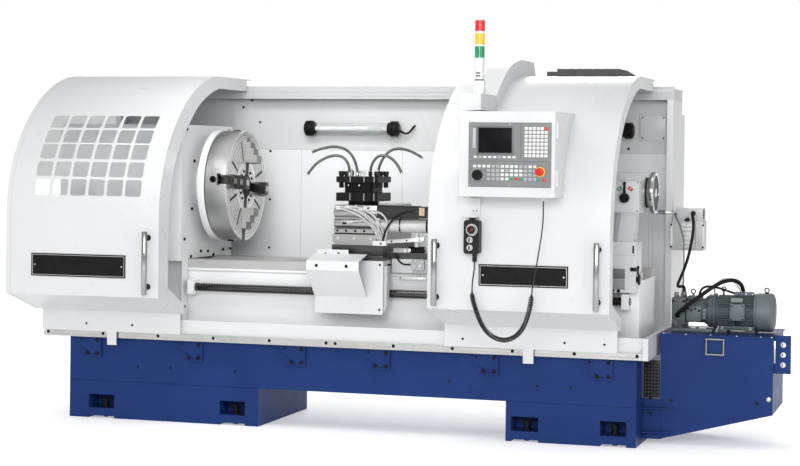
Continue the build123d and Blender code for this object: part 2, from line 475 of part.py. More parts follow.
# ================================================================= carriage
sad = fuse(bx(1440, 2160, 126, 690, WAY_Z + 0.3, 962), bx(1552, 1842, 40, 720, 962, 1016), bx(1480, 1866, -20, 126, 935, 962), bx(1842, 2160, 126, 240, 962, 975))
sad = cut(sad, bx(1900, 2161, 260, 535, 900, 963))
save("saddle", sad)
apr = cut(bx(1480, 1866, -20, 126, 645, 935), bx(1479, 1867, 60, 127, 644, 915), bx(1498, 1848, 20, 127, 644, 915))
apr = fuse(apr, cut(bx(1600, 1700, 60, 126, 712, 800), cx(1590, 1710, SCREW_Y, SCREW_Z, SCREW_R + 0.05)))
apr = cut(fuse(apr, bx(1630, 1670, 64, 126, 798, 918)), cx(1440, 1870, SCREW_Y, SCREW_Z, SCREW_R + 0.05))
save("apron", apr)
cg = px([(-20.5, 970), (-168, 937), (-168, 886), (-23, 738), (-20.5, 740.5), (-165, 887.5), (-165, 934), (-20.5, 967)], 1478, 1776)
cg = fuse(cg, bx(1493, 1669, -23.5, -20.5, 938, 991))
save("chip_guard", cg)

XS_Z0 = 1016.3
xs = fuse(bx(1570, 1823, 30, 650, XS_Z0, 1232), bx(1568, 1818, 6, 30, 1032, 1074), bx(1570, 1823, 22, 30, 1082, 1104))
# two half-round bands along the front
xs = fuse(xs, cut(cx(1570, 1823, 40, 1134, 26), bx(1569, 1824, 45, 70, 1100, 1170)), cut(cx(1570, 1823, 44, 1194, 32), bx(1569, 1824, 49, 80, 1160, 1230)))
save("cross_slide", xs)
tm = fuse(bx(1823, 2054, 0, 66, 1168, 1235), bx(2054, 2109, 3, 63, 1170, 1232), cx(1823, 2104, 60, 1127, 38), bx(1823, 1835, 0, 100, 1088, 1235))
save("tool_motor", tm)

H = 120.0
tp = fuse(bx(TP_X - H, TP_X + H, TP_Y - H, TP_Y + H, 1253, 1299), bx(TP_X - 82, TP_X + 82, TP_Y - 82, TP_Y + 82, 1299, 1356),
          bx(TP_X - H, TP_X + H, TP_Y - H, TP_Y + H, 1356, 1388), cz(1232.3, 1253, TP_X, TP_Y, 84))
BP = []
for s in (-102, -70, 70, 102):
    for t in (-101, 101):
        BP.append((TP_X + s, TP_Y + t))
        if abs(s) < 101:
            BP.append((TP_X + t, TP_Y + s))
HOSE_AT = [(TP_X - 70, TP_Y - 40), (TP_X - 52, TP_Y + 40), (TP_X + 50, TP_Y - 40), (TP_X + 70, TP_Y + 40)]
tp = cut(tp, *[cz(1350, 1390, x, y, 8.1) for x, y in BP])
save("tool_post", tp)
tb = []
for x, y in BP:
    tb.append(fuse(cz(1326, 1412, x, y, 8), Pos(x - OX, y - OY, 1406) * Box(17, 17, 22)))
save("tool_bolts", tb, True)
hs = []
shapes = [[(0, 1388), (0, 1424), (-8, 1456), (-26, 1484), (-53, 1500), (-86, 1503), (-121, 1496), (-157, 1481), (-191, 1459), (-221, 1428), (-245, 1394)],
          [(0, 1388), (0, 1420), (-8, 1456), (-24, 1492), (-48, 1522), (-80, 1542), (-117, 1551), (-156, 1551), (-196, 1544), (-235, 1533), (-270, 1519)],
          [(0, 1388), (0, 1424), (8, 1456), (25, 1484), (48, 1503), (76, 1507), (104, 1500), (130, 1484), (152, 1461), (170, 1434), (183, 1405)],
          [(0, 1388), (0, 1420), (9, 1454), (26, 1489), (49, 1518), (79, 1538), (113, 1546), (149, 1542), (185, 1531), (221, 1514), (255, 1494)]]
for i, (hx, hy) in enumerate(HOSE_AT):
    pts = [(hx + d, hy + (-1) ** (i + 1) * 0.02 * abs(d), z) for d, z in shapes[i]]
    hs.append(route(f"coolant_hose_{i + 1}", pts, 8))
save("coolant_hoses", hs, True)

# ================================================================= tailstock
ts = fuse(bx(2560, 3060, 215, 580, 990, 1330), cx(2540, 3060, AX_Y, AX_Z, 108), bx(2520, 3060, 136, 659, WAY_Z + 0.3, 1000), bx(2900, 3225, 60, 136, 802, 1000),
          bx(3060, 3225, 136, 240, WAY_Z + 0.3, 1068), bx(2900, 3225, 60, 136, 1000, 1068), bx(3071, 3214, 200, 480, 1217, 1385), bx(3055, 3080, 230, 560, 1050, 1400),
          px([(100, 1068), (236, 1068), (300, 1217), (205, 1217)], 3120, 3200), cx(3214, 3236, AX_Y, AX_Z, 80))
ts = cut(ts, cx(2500, 3040, AX_Y, AX_Z, 50.05), cx(3035, 3240, AX_Y, AX_Z, 14.05), cy(195, 230, 3137, 1296, 8.05))
save("tailstock", ts)
q = fuse(cx(2500, 3030, AX_Y, AX_Z, 50), cx(2470, 2500, AX_Y, AX_Z, 34))
cone = Pos(2470 - OX, AX_Y - OY, AX_Z) * Rot(0, -90, 0) * Pos(0, 0, 26) * Cone(30, 0.5, 52)
save("quill", fuse(q, cone))
hw = fuse(cx(3040, 3244, AX_Y, AX_Z, 14), cx(3236.5, 3272, AX_Y, AX_Z, 27), Pos(3262 - OX, AX_Y - OY, AX_Z) * Rot(0, 90, 0) * Torus(104, 9))
for k in range(3):
    a = math.radians(30 + 120 * k)
    sp = Pos(3262 - OX, AX_Y - OY, AX_Z) * Rot(30 + 120 * k, 0, 0) * Pos(0, 0, 62) * Cylinder(7, 92)
    hw = fuse(hw, sp)
hw = fuse(hw, cx(3262, 3290, AX_Y, AX_Z - 104, 8), cx(3290, 3362, AX_Y, AX_Z - 104, 11))
save("handwheel", hw)
lv = fuse(cy(176, 199.6, 3137, 1296, 26), cy(199.6, 225, 3137, 1296, 8), bx(3131, 3143, 180, 190, 1310, 1372), Pos(3137 - OX, 185 - OY, 1374) * Sphere(9))
save("valve_lever", lv)

tot = 0
for n, k, v in made:
    tot += v
print(len(made), "nodes, volume", round(tot / 1e9, 3), "m3")
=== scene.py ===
import math
import bpy
import bmesh
from mathutils import Vector, Matrix


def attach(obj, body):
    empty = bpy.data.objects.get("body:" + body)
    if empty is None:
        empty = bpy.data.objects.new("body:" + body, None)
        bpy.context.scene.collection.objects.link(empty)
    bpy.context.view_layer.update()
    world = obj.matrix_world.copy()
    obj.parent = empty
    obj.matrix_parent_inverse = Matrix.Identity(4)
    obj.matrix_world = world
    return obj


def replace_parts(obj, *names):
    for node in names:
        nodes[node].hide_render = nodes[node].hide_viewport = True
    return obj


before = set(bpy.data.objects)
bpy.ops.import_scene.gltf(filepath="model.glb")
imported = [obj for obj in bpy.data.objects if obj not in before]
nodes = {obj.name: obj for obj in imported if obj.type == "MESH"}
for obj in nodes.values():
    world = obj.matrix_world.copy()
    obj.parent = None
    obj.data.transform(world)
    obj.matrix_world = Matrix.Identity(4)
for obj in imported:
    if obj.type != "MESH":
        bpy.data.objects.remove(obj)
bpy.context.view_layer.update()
OX, OY = 1914.0, 322.5
AX_Y, AX_Z = 397.5, 1322.0


def W(x, y, z):
    """Machine millimetres (from the base's left front corner) to the row frame."""
    return Vector(((x - OX) / 1000.0, (y - OY) / 1000.0, z / 1000.0))


# ------------------------------------------------------------------ materials
def nd(nt, kind, ins=None, **props):
    n = nt.nodes.new(kind)
    for k, v in props.items():
        setattr(n, k, v)
    for k, v in (ins or {}).items():
        if isinstance(v, bpy.types.NodeSocket):
            nt.links.new(v, n.inputs[k])
        else:
            n.inputs[k].default_value = v
    return n


def ramp(nt, fac, stops, interp="LINEAR"):
    r = nt.nodes.new("ShaderNodeValToRGB")
    r.color_ramp.interpolation = interp
    e = r.color_ramp.elements
    while len(e) < len(stops):
        e.new(0.5)
    for el, (p, c) in zip(e, stops):
        el.position = p
        el.color = (*c, 1.0) if len(c) == 3 else c
    nt.links.new(fac, r.inputs["Fac"])
    return r.outputs["Color"]


def start(name):
    m = bpy.data.materials.new(name)
    m.use_nodes = True
    nt = m.node_tree
    b = nt.nodes["Principled BSDF"]
    co = nd(nt, "ShaderNodeTexCoord").outputs["Object"]
    return m, nt, b, co


def rough_from(nt, b, fac, lo, hi):
    r = nd(nt, "ShaderNodeMapRange", {"Value": fac, "From Min": 0.3, "From Max": 0.7, "To Min": lo, "To Max": hi})
    nt.links.new(r.outputs["Result"], b.inputs["Roughness"])


def bump_on(nt, b, height, strength, dist=0.001, prev=None):
    ins = {"Height": height, "Strength": strength, "Distance": dist}
    if prev is not None:
        ins["Normal"] = prev
    bp = nd(nt, "ShaderNodeBump", ins)
    nt.links.new(bp.outputs["Normal"], b.inputs["Normal"])
    return bp.outputs["Normal"]


def mix(nt, fac, a, b):
    n = nd(nt, "ShaderNodeMix", data_type="RGBA")
    for sock, v in ((n.inputs[0], fac), (n.inputs[6], a), (n.inputs[7], b)):
        if isinstance(v, bpy.types.NodeSocket):
            nt.links.new(v, sock)
        else:
            sock.default_value = (*v, 1.0) if hasattr(v, "__len__") and len(v) == 3 else v
    return n.outputs[2]


def paint(name, c1, c2, rough=(0.3, 0.42), peel=700.0, peel_s=0.06, cloud=2.5, coat=0.0, spec=0.5, speck=None):
    """Sprayed enamel: slow tone drift, orange peel, uneven gloss, a little settled dust."""
    m, nt, b, co = start(name)
    big = nd(nt, "ShaderNodeTexNoise", {"Vector": co, "Scale": cloud, "Detail": 5.0, "Roughness": 0.6}).outputs["Fac"]
    col = ramp(nt, big, [(0.3, c1), (0.7, c2)])
    dust = nd(nt, "ShaderNodeTexNoise", {"Vector": co, "Scale": 9.0, "Detail": 9.0, "Roughness": 0.7}).outputs["Fac"]
    f = nd(nt, "ShaderNodeMapRange", {"Value": dust, "From Min": 0.55, "From Max": 0.85, "To Min": 0.0, "To Max": 0.3})
    col = mix(nt, f.outputs["Result"], col, speck or tuple(0.95 * v for v in c1))
    nt.links.new(col, b.inputs["Base Color"])
    rough_from(nt, b, dust, *rough)
    fine = nd(nt, "ShaderNodeTexNoise", {"Vector": co, "Scale": peel, "Detail": 2.0}).outputs["Fac"]
    bump_on(nt, b, fine, peel_s, 0.0006)
    b.inputs["Specular IOR Level"].default_value = spec
    b.inputs["Coat Weight"].default_value = coat
    b.inputs["Coat Roughness"].default_value = 0.12
    return m


def metal(name, c1, c2, rough=(0.22, 0.38), stretch=(3.0, 260.0, 260.0), bump=0.05, cloud=9.0):
    """Ground or brushed metal: fine lines along one way, slow tone drift, handling marks."""
    m, nt, b, co = start(name)
    mp = nd(nt, "ShaderNodeMapping", {"Vector": co, "Scale": stretch})
    line = nd(nt, "ShaderNodeTexNoise", {"Vector": mp.outputs["Vector"], "Scale": 1.0, "Detail": 6.0, "Roughness": 0.7}).outputs["Fac"]
    spot = nd(nt, "ShaderNodeTexNoise", {"Vector": co, "Scale": cloud, "Detail": 6.0, "Roughness": 0.65}).outputs["Fac"]
    a = ramp(nt, line, [(0.3, c1), (0.7, c2)])
    d = nd(nt, "ShaderNodeMapRange", {"Value": spot, "From Min": 0.5, "From Max": 0.75, "To Min": 0.0, "To Max": 0.5})
    col = mix(nt, d.outputs["Result"], a, tuple(0.8 * v for v in c1))
    nt.links.new(col, b.inputs["Base Color"])
    b.inputs["Metallic"].default_value = 1.0
    rough_from(nt, b, spot, *rough)
    bump_on(nt, b, line, bump, 0.0004)
    return m


def plastic(name, c1, c2, rough=(0.35, 0.5), grain=1500.0, grain_s=0.15, metallic=0.0, coat=0.0, spec=0.5):
    m, nt, b, co = start(name)
    n1 = nd(nt, "ShaderNodeTexNoise", {"Vector": co, "Scale": 24.0, "Detail": 5.0, "Roughness": 0.6}).outputs["Fac"]
    nt.links.new(ramp(nt, n1, [(0.3, c1), (0.7, c2)]), b.inputs["Base Color"])
    rough_from(nt, b, n1, *rough)
    g = nd(nt, "ShaderNodeTexVoronoi", {"Vector": co, "Scale": grain}).outputs["Distance"]
    bump_on(nt, b, g, grain_s, 0.0003)
    b.inputs["Metallic"].default_value = metallic
    b.inputs["Coat Weight"].default_value = coat
    b.inputs["Specular IOR Level"].default_value = spec
    return m


def glass(name, tint, rough=(0.0, 0.06)):
    m, nt, b, co = start(name)
    n1 = nd(nt, "ShaderNodeTexNoise", {"Vector": co, "Scale": 14.0, "Detail": 6.0, "Roughness": 0.7}).outputs["Fac"]
    nt.links.new(ramp(nt, n1, [(0.3, tint), (0.7, tuple(min(1.0, v * 1.03) for v in tint))]), b.inputs["Base Color"])
    rough_from(nt, b, n1, *rough)
    b.inputs["Transmission Weight"].default_value = 1.0
    b.inputs["IOR"].default_value = 1.15
    return m


def turned(name, c1, c2, axis_y, axis_z, lines=900.0, rough=(0.2, 0.34), bump=0.08):
    """Faced on a lathe: fine rings about an X axis."""
    m, nt, b, co = start(name)
    s = nd(nt, "ShaderNodeSeparateXYZ", {"Vector": co})
    dy = nd(nt, "ShaderNodeMath", {0: s.outputs["Y"], 1: axis_y}, operation="SUBTRACT").outputs[0]
    dz = nd(nt, "ShaderNodeMath", {0: s.outputs["Z"], 1: axis_z}, operation="SUBTRACT").outputs[0]
    y2 = nd(nt, "ShaderNodeMath", {0: dy, 1: dy}, operation="MULTIPLY").outputs[0]
    z2 = nd(nt, "ShaderNodeMath", {0: dz, 1: dz}, operation="MULTIPLY").outputs[0]
    r = nd(nt, "ShaderNodeMath", {0: nd(nt, "ShaderNodeMath", {0: y2, 1: z2}, operation="ADD").outputs[0]}, operation="SQRT").outputs[0]
    v = nd(nt, "ShaderNodeCombineXYZ", {"X": r, "Y": s.outputs["X"], "Z": 0.0})
    mp = nd(nt, "ShaderNodeMapping", {"Vector": v.outputs["Vector"], "Scale": (lines, lines, 1.0)})
    line = nd(nt, "ShaderNodeTexNoise", {"Vector": mp.outputs["Vector"], "Scale": 1.0, "Detail": 3.0, "Roughness": 0.6}).outputs["Fac"]
    spot = nd(nt, "ShaderNodeTexNoise", {"Vector": co, "Scale": 11.0, "Detail": 5.0, "Roughness": 0.65}).outputs["Fac"]
    nt.links.new(mix(nt, spot, ramp(nt, line, [(0.3, c1), (0.7, c2)]), c1), b.inputs["Base Color"])
    b.inputs["Metallic"].default_value = 1.0
    rough_from(nt, b, spot, *rough)
    bump_on(nt, b, line, bump, 0.0004)
    return m


WHITE = paint("white_enamel", (0.575, 0.584, 0.592), (0.60, 0.608, 0.616), (0.26, 0.34), peel=150.0, peel_s=0.008, spec=0.35)
# white enamel painted brighter: painted light on the headstock cover and chuck guard inside the doors
WHITE_PAINTED_LIT = paint("white_enamel_painted_lit", (0.68, 0.688, 0.696), (0.715, 0.722, 0.728), (0.3, 0.4), peel=150.0, peel_s=0.008, spec=0.3)
# white enamel painted darker: painted shade for seam, fold and edge lines
WHITE_PAINTED_SHADE = paint("white_enamel_painted_shade", (0.47, 0.478, 0.486), (0.51, 0.517, 0.523), (0.32, 0.42), peel=150.0, peel_s=0.008, spec=0.3)
GREY = paint("grey_enamel", (0.40, 0.41, 0.42), (0.46, 0.47, 0.48), (0.32, 0.42), peel_s=0.02)
BLUE = paint("blue_enamel", (0.0095, 0.029, 0.122), (0.0125, 0.035, 0.145), (0.32, 0.46), peel=420.0, peel_s=0.06, cloud=4.0, spec=0.10, speck=(0.014, 0.04, 0.15))
GREEN_GREY = paint("grey_green_enamel", (0.075, 0.09, 0.098), (0.10, 0.117, 0.125), (0.34, 0.5), peel=380.0, peel_s=0.08, cloud=12.0, spec=0.25)
BLACK = paint("black_finish", (0.006, 0.006, 0.0065), (0.011, 0.011, 0.0115), (0.28, 0.42), peel=900.0, peel_s=0.05, cloud=20.0, spec=0.10, speck=(0.016, 0.016, 0.016))
STEEL = metal("ground_steel", (0.46, 0.46, 0.455), (0.58, 0.58, 0.57), bump=0.03)
STEEL_Z = metal("ground_steel_upright", (0.46, 0.46, 0.455), (0.58, 0.58, 0.57), stretch=(260.0, 260.0, 3.0), bump=0.03)
CHROME = metal("chrome", (0.52, 0.53, 0.54), (0.60, 0.61, 0.62), (0.08, 0.16), (120.0, 120.0, 6.0), 0.02)
IRON = metal("cast_machined", (0.36, 0.36, 0.36), (0.48, 0.48, 0.47), (0.28, 0.45), (3.0, 190.0, 190.0), 0.03)
CHUCK = turned("turned_steel", (0.70, 0.70, 0.69), (0.77, 0.77, 0.76), (AX_Y - OY) / 1000, AX_Z / 1000, rough=(0.27, 0.31), bump=0.015)
DARK = plastic("dark_plastic", (0.010, 0.010, 0.011), (0.018, 0.018, 0.019), spec=0.15)
BLACKP = plastic("black_plastic", (0.006, 0.006, 0.0065), (0.011, 0.011, 0.0115), (0.28, 0.42), spec=0.12)
PANEL = plastic("panel_grey", (0.22, 0.23, 0.235), (0.26, 0.265, 0.27), (0.4, 0.5), 2200.0, 0.04, spec=0.2)
RED = plastic("red_plastic", (0.50, 0.010, 0.008), (0.60, 0.018, 0.012), (0.2, 0.3), 900.0, 0.03, coat=0.2, spec=0.3)
WHITEP = plastic("white_plastic", (0.62, 0.62, 0.61), (0.66, 0.66, 0.65), (0.24, 0.34), 900.0, 0.02, spec=0.3)
RUBBER = plastic("black_rubber", (0.006, 0.006, 0.006), (0.012, 0.012, 0.012), (0.42, 0.6), 1800.0, 0.12, spec=0.12)
HOSE = plastic("hose_grey", (0.10, 0.10, 0.104), (0.16, 0.16, 0.164), (0.3, 0.42), 1500.0, 0.06, spec=0.4)
CLEAR = glass("clear_pane", (0.93, 0.945, 0.95))

NODE_MAT = {
    "base_frame": BLUE, "levelling_screws": STEEL, "tray_brackets": BLUE, "frame_screws": BLACK, "chip_tray": WHITE, "front_rail": STEEL,
    "bed": IRON, "z_ballscrew": STEEL, "headstock": WHITE, "headstock_cover": WHITE_PAINTED_LIT, "chuck_guard": WHITE_PAINTED_LIT, "spindle": STEEL,
    "chuck_body": CHUCK, "chuck_jaw_1": STEEL, "chuck_jaw_2": BLACK, "chuck_jaw_3": STEEL, "chuck_jaw_4": BLACK, "jaw_screws": BLACK,
    "rear_frame": WHITE, "back_panels": WHITE, "work_lights": BLACKP, "coolant_tank": BLUE, "tank_handle": CHROME, "hydraulic_pump": GREEN_GREY,
    "pump_motor": GREEN_GREY, "lube_unit": GREY, "hydraulic_hose": RUBBER, "lube_hose": RUBBER, "left_door": WHITE, "left_window": CLEAR,
    "left_handle": CHROME, "left_plate": BLACK, "right_door": WHITE, "control_box": WHITE, "control_door": WHITE, "e_stop": RED,
    "override_knob": BLACKP, "signal_tower": WHITEP, "right_handles": CHROME, "right_plate": BLACK, "pendant": DARK, "pendant_dial": BLACKP,
    "pendant_selector_1": BLACKP, "pendant_selector_2": BLACKP, "pendant_lead": RUBBER, "pendant_coil": RUBBER, "pendant_tail": RUBBER,
    "drag_chain": DARK, "saddle": IRON, "apron": WHITE, "chip_guard": WHITE, "cross_slide": STEEL, "tool_motor": BLACK, "tool_post": BLACK,
    "tool_bolts": STEEL, "coolant_hoses": HOSE, "tailstock": WHITE, "quill": STEEL, "handwheel": CHROME, "valve_lever": BLACKP,
}
for n, o in nodes.items():
    o.data.materials.clear()
    o.data.materials.append(NODE_MAT[n])

# ------------------------------------------------------------------ camera
AZ, PITCH, ROLL = math.radians(16.9222), math.radians(0.5745), math.radians(0.6965)
fwd = Vector((-math.sin(AZ) * math.cos(PITCH), math.cos(AZ) * math.cos(PITCH), -math.sin(PITCH)))
right = Vector((math.cos(AZ), math.sin(AZ), 0.0))
up = right.cross(fwd)
right, up = math.cos(ROLL) * right + math.sin(ROLL) * up, math.cos(ROLL) * up - math.sin(ROLL) * right
cd = bpy.data.cameras.new("camera")
cam = bpy.data.objects.new("camera", cd)
bpy.context.scene.collection.objects.link(cam)
mw = Matrix.Identity(4)
for i in range(3):
    mw[i][0], mw[i][1], mw[i][2] = right[i], up[i], -fwd[i]
mw.translation = (2.9940, -10.0471, 1.5133)
cam.matrix_world = mw
cd.sensor_width = 36.0
cd.sensor_fit = "HORIZONTAL"
cd.lens = 84.89
cd.shift_y = -0.0748
cd.clip_end = 200.0
bpy.context.scene.camera = cam

# ------------------------------------------------------------------ light and floor
sc = bpy.context.scene
sc.view_settings.view_transform = "Standard"
world = bpy.data.worlds.new("studio")
world.use_nodes = True
wt = world.node_tree
wt.nodes["Background"].inputs["Color"].default_value = (1.0, 1.0, 1.0, 1.0)
wt.nodes["Background"].inputs["Strength"].default_value = 0.58
seen = nd(wt, "ShaderNodeBackground", {"Color": (1.0, 1.0, 1.0, 1.0), "Strength": 1.0})
both = nd(wt, "ShaderNodeMixShader", {0: nd(wt, "ShaderNodeLightPath").outputs["Is Camera Ray"]})
wt.links.new(wt.nodes["Background"].outputs[0], both.inputs[1])
wt.links.new(seen.outputs[0], both.inputs[2])
wt.links.new(both.outputs[0], wt.nodes["World Output"].inputs["Surface"])
sc.world = world


def area(name, loc, target, size, power):
    ld = bpy.data.lights.new(name, "AREA")
    ld.shape, ld.size, ld.size_y, ld.energy = "RECTANGLE", size[0], size[1], power
    lo = bpy.data.objects.new(name, ld)
    sc.collection.objects.link(lo)
    lo.location = loc
    lo.rotation_euler = (Vector(target) - Vector(loc)).to_track_quat("-Z", "Y").to_euler()
    return lo


area("front", (2.4, -10.4, 3.6), (0.1, 0.2, 1.1), (5.0, 2.6), 520.0)
area("key", (-4.5, -7.5, 6.5), (0.0, 0.0, 1.0), (4.0, 3.0), 70.0)
area("top", (0.3, -1.0, 7.0), (0.2, 0.3, 1.0), (5.0, 2.5), 55.0)
inner = area("inner", (-0.4, -1.7, 3.1), (-0.4, 0.6, 1.25), (1.3, 0.6), 9.0)
inner.data.spread = math.radians(80.0)
area("side", (8.6, -6.6, 3.4), (1.6, 0.0, 1.2), (3.0, 3.0), 130.0)
area("rear", (-1.5, 9.5, 5.5), (0.0, 0.6, 1.0), (5.0, 3.0), 420.0)

fm = paint("floor_pale", (0.90, 0.90, 0.90), (0.92, 0.92, 0.92), (0.6, 0.75), peel=60.0, peel_s=0.01, cloud=0.4, spec=0.1)
fm.node_tree.nodes["Principled BSDF"].inputs["Emission Color"].default_value = (1.0, 1.0, 1.0, 1.0)
away = nd(fm.node_tree, "ShaderNodeVectorMath", {0: nd(fm.node_tree, "ShaderNodeTexCoord").outputs["Object"]}, operation="LENGTH").outputs["Value"]
glow = nd(fm.node_tree, "ShaderNodeMapRange", {"Value": away, "From Min": 3.0, "From Max": 11.0, "To Min": 0.36, "To Max": 0.52})
fm.node_tree.links.new(glow.outputs["Result"], fm.node_tree.nodes["Principled BSDF"].inputs["Emission Strength"])
bm = bmesh.new()
bmesh.ops.create_grid(bm, x_segments=8, y_segments=8, size=90.0)
me = bpy.data.meshes.new("floor")
bm.to_mesh(me)
bm.free()
me.materials.append(fm)
floor = bpy.data.objects.new("floor", me)
floor.location = (0, 0, -0.0005)
sc.collection.objects.link(floor)

# ------------------------------------------------------------------ mesh helpers (machine millimetres)
AXES = {"x": Vector((1, 0, 0)), "y": Vector((0, 1, 0)), "z": Vector((0, 0, 1)), "-x": Vector((-1, 0, 0)), "-y": Vector((0, -1, 0)), "-z": Vector((0, 0, -1))}


class Piece:
    """Gathers solids into one mesh piece; m is the index of the piece's material."""

    def __init__(self):
        self.bm = bmesh.new()

    def box(self, x1, x2, y1, y2, z1, z2, m=0, bev=0.0, seg=2, turn=None):
        c, d = W((x1 + x2) / 2, (y1 + y2) / 2, (z1 + z2) / 2), ((x2 - x1) / 1000, (y2 - y1) / 1000, (z2 - z1) / 1000)
        mat = Matrix.Translation(c)
        if turn:
            mat = mat @ Matrix.Rotation(math.radians(turn[1]), 4, turn[0])
        vs = bmesh.ops.create_cube(self.bm, size=1.0, matrix=mat @ Matrix.Diagonal((*d, 1.0)))["verts"]
        for f in {f for v in vs for f in v.link_faces}:
            f.material_index = m
        if bev:
            bmesh.ops.bevel(self.bm, geom=list({e for v in vs for e in v.link_edges}), offset=bev / 1000, segments=seg, affect="EDGES", profile=0.5, material=m)
        return self

    def lathe(self, o, axis, prof, seg=32, m=0, mats=None):
        """prof: (distance along axis, radius) pairs from o, mm."""
        a = AXES[axis] if isinstance(axis, str) else Vector(axis).normalized()
        u = a.orthogonal().normalized()
        v = a.cross(u)
        base = W(*o)
        rings = []
        for t, r in prof:
            p = base + a * (t / 1000)
            if r <= 1e-6:
                rings.append([self.bm.verts.new(p)])
            else:
                rings.append([self.bm.verts.new(p + (u * math.cos(2 * math.pi * k / seg) + v * math.sin(2 * math.pi * k / seg)) * (r / 1000)) for k in range(seg)])
        for i, (r1, r2) in enumerate(zip(rings, rings[1:])):
            mi = mats[i] if mats else m
            for k in range(seg):
                q = (r1[k % len(r1)], r1[(k + 1) % len(r1)], r2[(k + 1) % len(r2)], r2[k % len(r2)])
                q = list(dict.fromkeys(q))
                if len(q) > 2:
                    self.bm.faces.new(q).material_index = mi
        for ring, flip, mi in ((rings[0], True, mats[0] if mats else m), (rings[-1], False, mats[-1] if mats else m)):
            if len(ring) > 2:
                self.bm.faces.new(list(reversed(ring)) if flip else ring).material_index = mi
        return self

    def cyl(self, o, axis, length, r, m=0, seg=32, bev=0.8):
        b = min(bev, r * 0.45, length * 0.45)
        return self.lathe(o, axis, [(0, 0), (0, r - b), (b * 0.3, r - b * 0.3), (b, r), (length - b, r), (length - b * 0.3, r - b * 0.3), (length, r - b), (length, 0)], seg, m)

    def ring(self, o, axis, length, r_in, r_out, m=0, seg=48, bev=0.6):
        a = [(0, r_in), (0, r_out - bev), (bev, r_out), (length - bev, r_out), (length, r_out - bev), (length, r_in), (0, r_in)]
        ax = AXES[axis] if isinstance(axis, str) else Vector(axis).normalized()
        u = ax.orthogonal().normalized()
        v = ax.cross(u)
        base = W(*o)
        rings = [[self.bm.verts.new(base + ax * (t / 1000) + (u * math.cos(2 * math.pi * k / seg) + v * math.sin(2 * math.pi * k / seg)) * (r / 1000)) for k in range(seg)] for t, r in a[:-1]]
        rings.append(rings[0])
        for r1, r2 in zip(rings, rings[1:]):
            for k in range(seg):
                self.bm.faces.new((r1[k], r1[(k + 1) % seg], r2[(k + 1) % seg], r2[k])).material_index = m
        return self

    def hexa(self, o, axis, length, r, m=0, bev=0.8):
        return self.lathe(o, axis, [(0, 0), (0, r), (length - bev, r), (length, r - bev), (length, 0)], 6, m)

    def prism(self, pts, axis, a, b, m=0, bev=0.0):
        """pts: outline in the two other axes, in order (y, z), (x, z) or (x, y)."""
        def at(p, t):
            return W(t, *p) if axis == "x" else W(p[0], t, p[1]) if axis == "y" else W(p[0], p[1], t)
        lo, hi = [self.bm.verts.new(at(p, a)) for p in pts], [self.bm.verts.new(at(p, b)) for p in pts]
        n = len(pts)
        fs = [self.bm.faces.new(lo), self.bm.faces.new(hi)]
        for k in range(n):
            fs.append(self.bm.faces.new((lo[k], lo[(k + 1) % n], hi[(k + 1) % n], hi[k])))
        for f in fs:
            f.material_index = m
        bmesh.ops.recalc_face_normals(self.bm, faces=fs)
        if bev:
            bmesh.ops.bevel(self.bm, geom=list({e for f in fs for e in f.edges}), offset=bev / 1000, segments=2, affect="EDGES", profile=0.5, material=m)
        return self

    def tube(self, pts, r, m=0, seg=12, radii=None):
        """pts: points in the row frame."""
        n = len(pts)
        tan = [(pts[min(i + 1, n - 1)] - pts[max(i - 1, 0)]).normalized() for i in range(n)]
        u = tan[0].orthogonal().normalized()
        rings = []
        for i, p in enumerate(pts):
            u = (u - tan[i] * u.dot(tan[i])).normalized()
            v = tan[i].cross(u)
            rr = (radii[i] if radii else r) / 1000
            rings.append([self.bm.verts.new(p + (u * math.cos(2 * math.pi * k / seg) + v * math.sin(2 * math.pi * k / seg)) * rr) for k in range(seg)])
        for r1, r2 in zip(rings, rings[1:]):
            for k in range(seg):
                self.bm.faces.new((r1[k], r1[(k + 1) % seg], r2[(k + 1) % seg], r2[k])).material_index = m
        self.bm.faces.new(list(reversed(rings[0]))).material_index = m
        self.bm.faces.new(rings[-1]).material_index = m
        return self

    def done(self, name, body, *mats, sharp=35.0, smooth=True):
        bmesh.ops.recalc_face_normals(self.bm, faces=self.bm.faces)
        me = bpy.data.meshes.new(name)
        self.bm.to_mesh(me)
        self.bm.free()
        for m in mats:
            me.materials.append(m)
        if smooth:
            for p in me.polygons:
                p.use_smooth = True
            me.set_sharp_from_angle(angle=math.radians(sharp))
        o = bpy.data.objects.new(name, me)
        sc.collection.objects.link(o)
        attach(o, body)
        return o


def nurbs(name, pts, depth=0.0, res=8):
    cu = bpy.data.curves.new(name, "CURVE")
    cu.dimensions = "3D"
    sp = cu.splines.new("NURBS")
    sp.points.add(len(pts) - 1)
    for p, q in zip(sp.points, pts):
        p.co = (*q, 1.0)
    sp.order_u = 3
    sp.use_endpoint_u = True
    cu.resolution_u = res
    cu.bevel_depth = depth
    cu.bevel_resolution = 4
    cu.use_fill_caps = True
    o = bpy.data.objects.new(name, cu)
    sc.collection.objects.link(o)
    return o


def along(pts, res=8):
    """Points on the route's smooth line."""
    o = nurbs("route_tmp", pts, 0.0, res)
    bpy.context.view_layer.update()
    me = bpy.data.meshes.new_from_object(o)
    out = [v.co.copy() for v in me.vertices]
    cu = o.data
    bpy.data.objects.remove(o)
    bpy.data.curves.remove(cu)
    bpy.data.meshes.remove(me)
    return out


def even(pts, step):
    """The same line with points a fixed step apart."""
    out, left = [pts[0].copy()], step
    for a, b in zip(pts, pts[1:]):
        d = (b - a).length
        t = left
        while t <= d:
            out.append(a.lerp(b, t / d))
            t += step
        left = t - d
    if (out[-1] - pts[-1]).length > step * 0.3:
        out.append(pts[-1].copy())
    return out


def length_of(pts):
    return sum((b - a).length for a, b in zip(pts, pts[1:]))


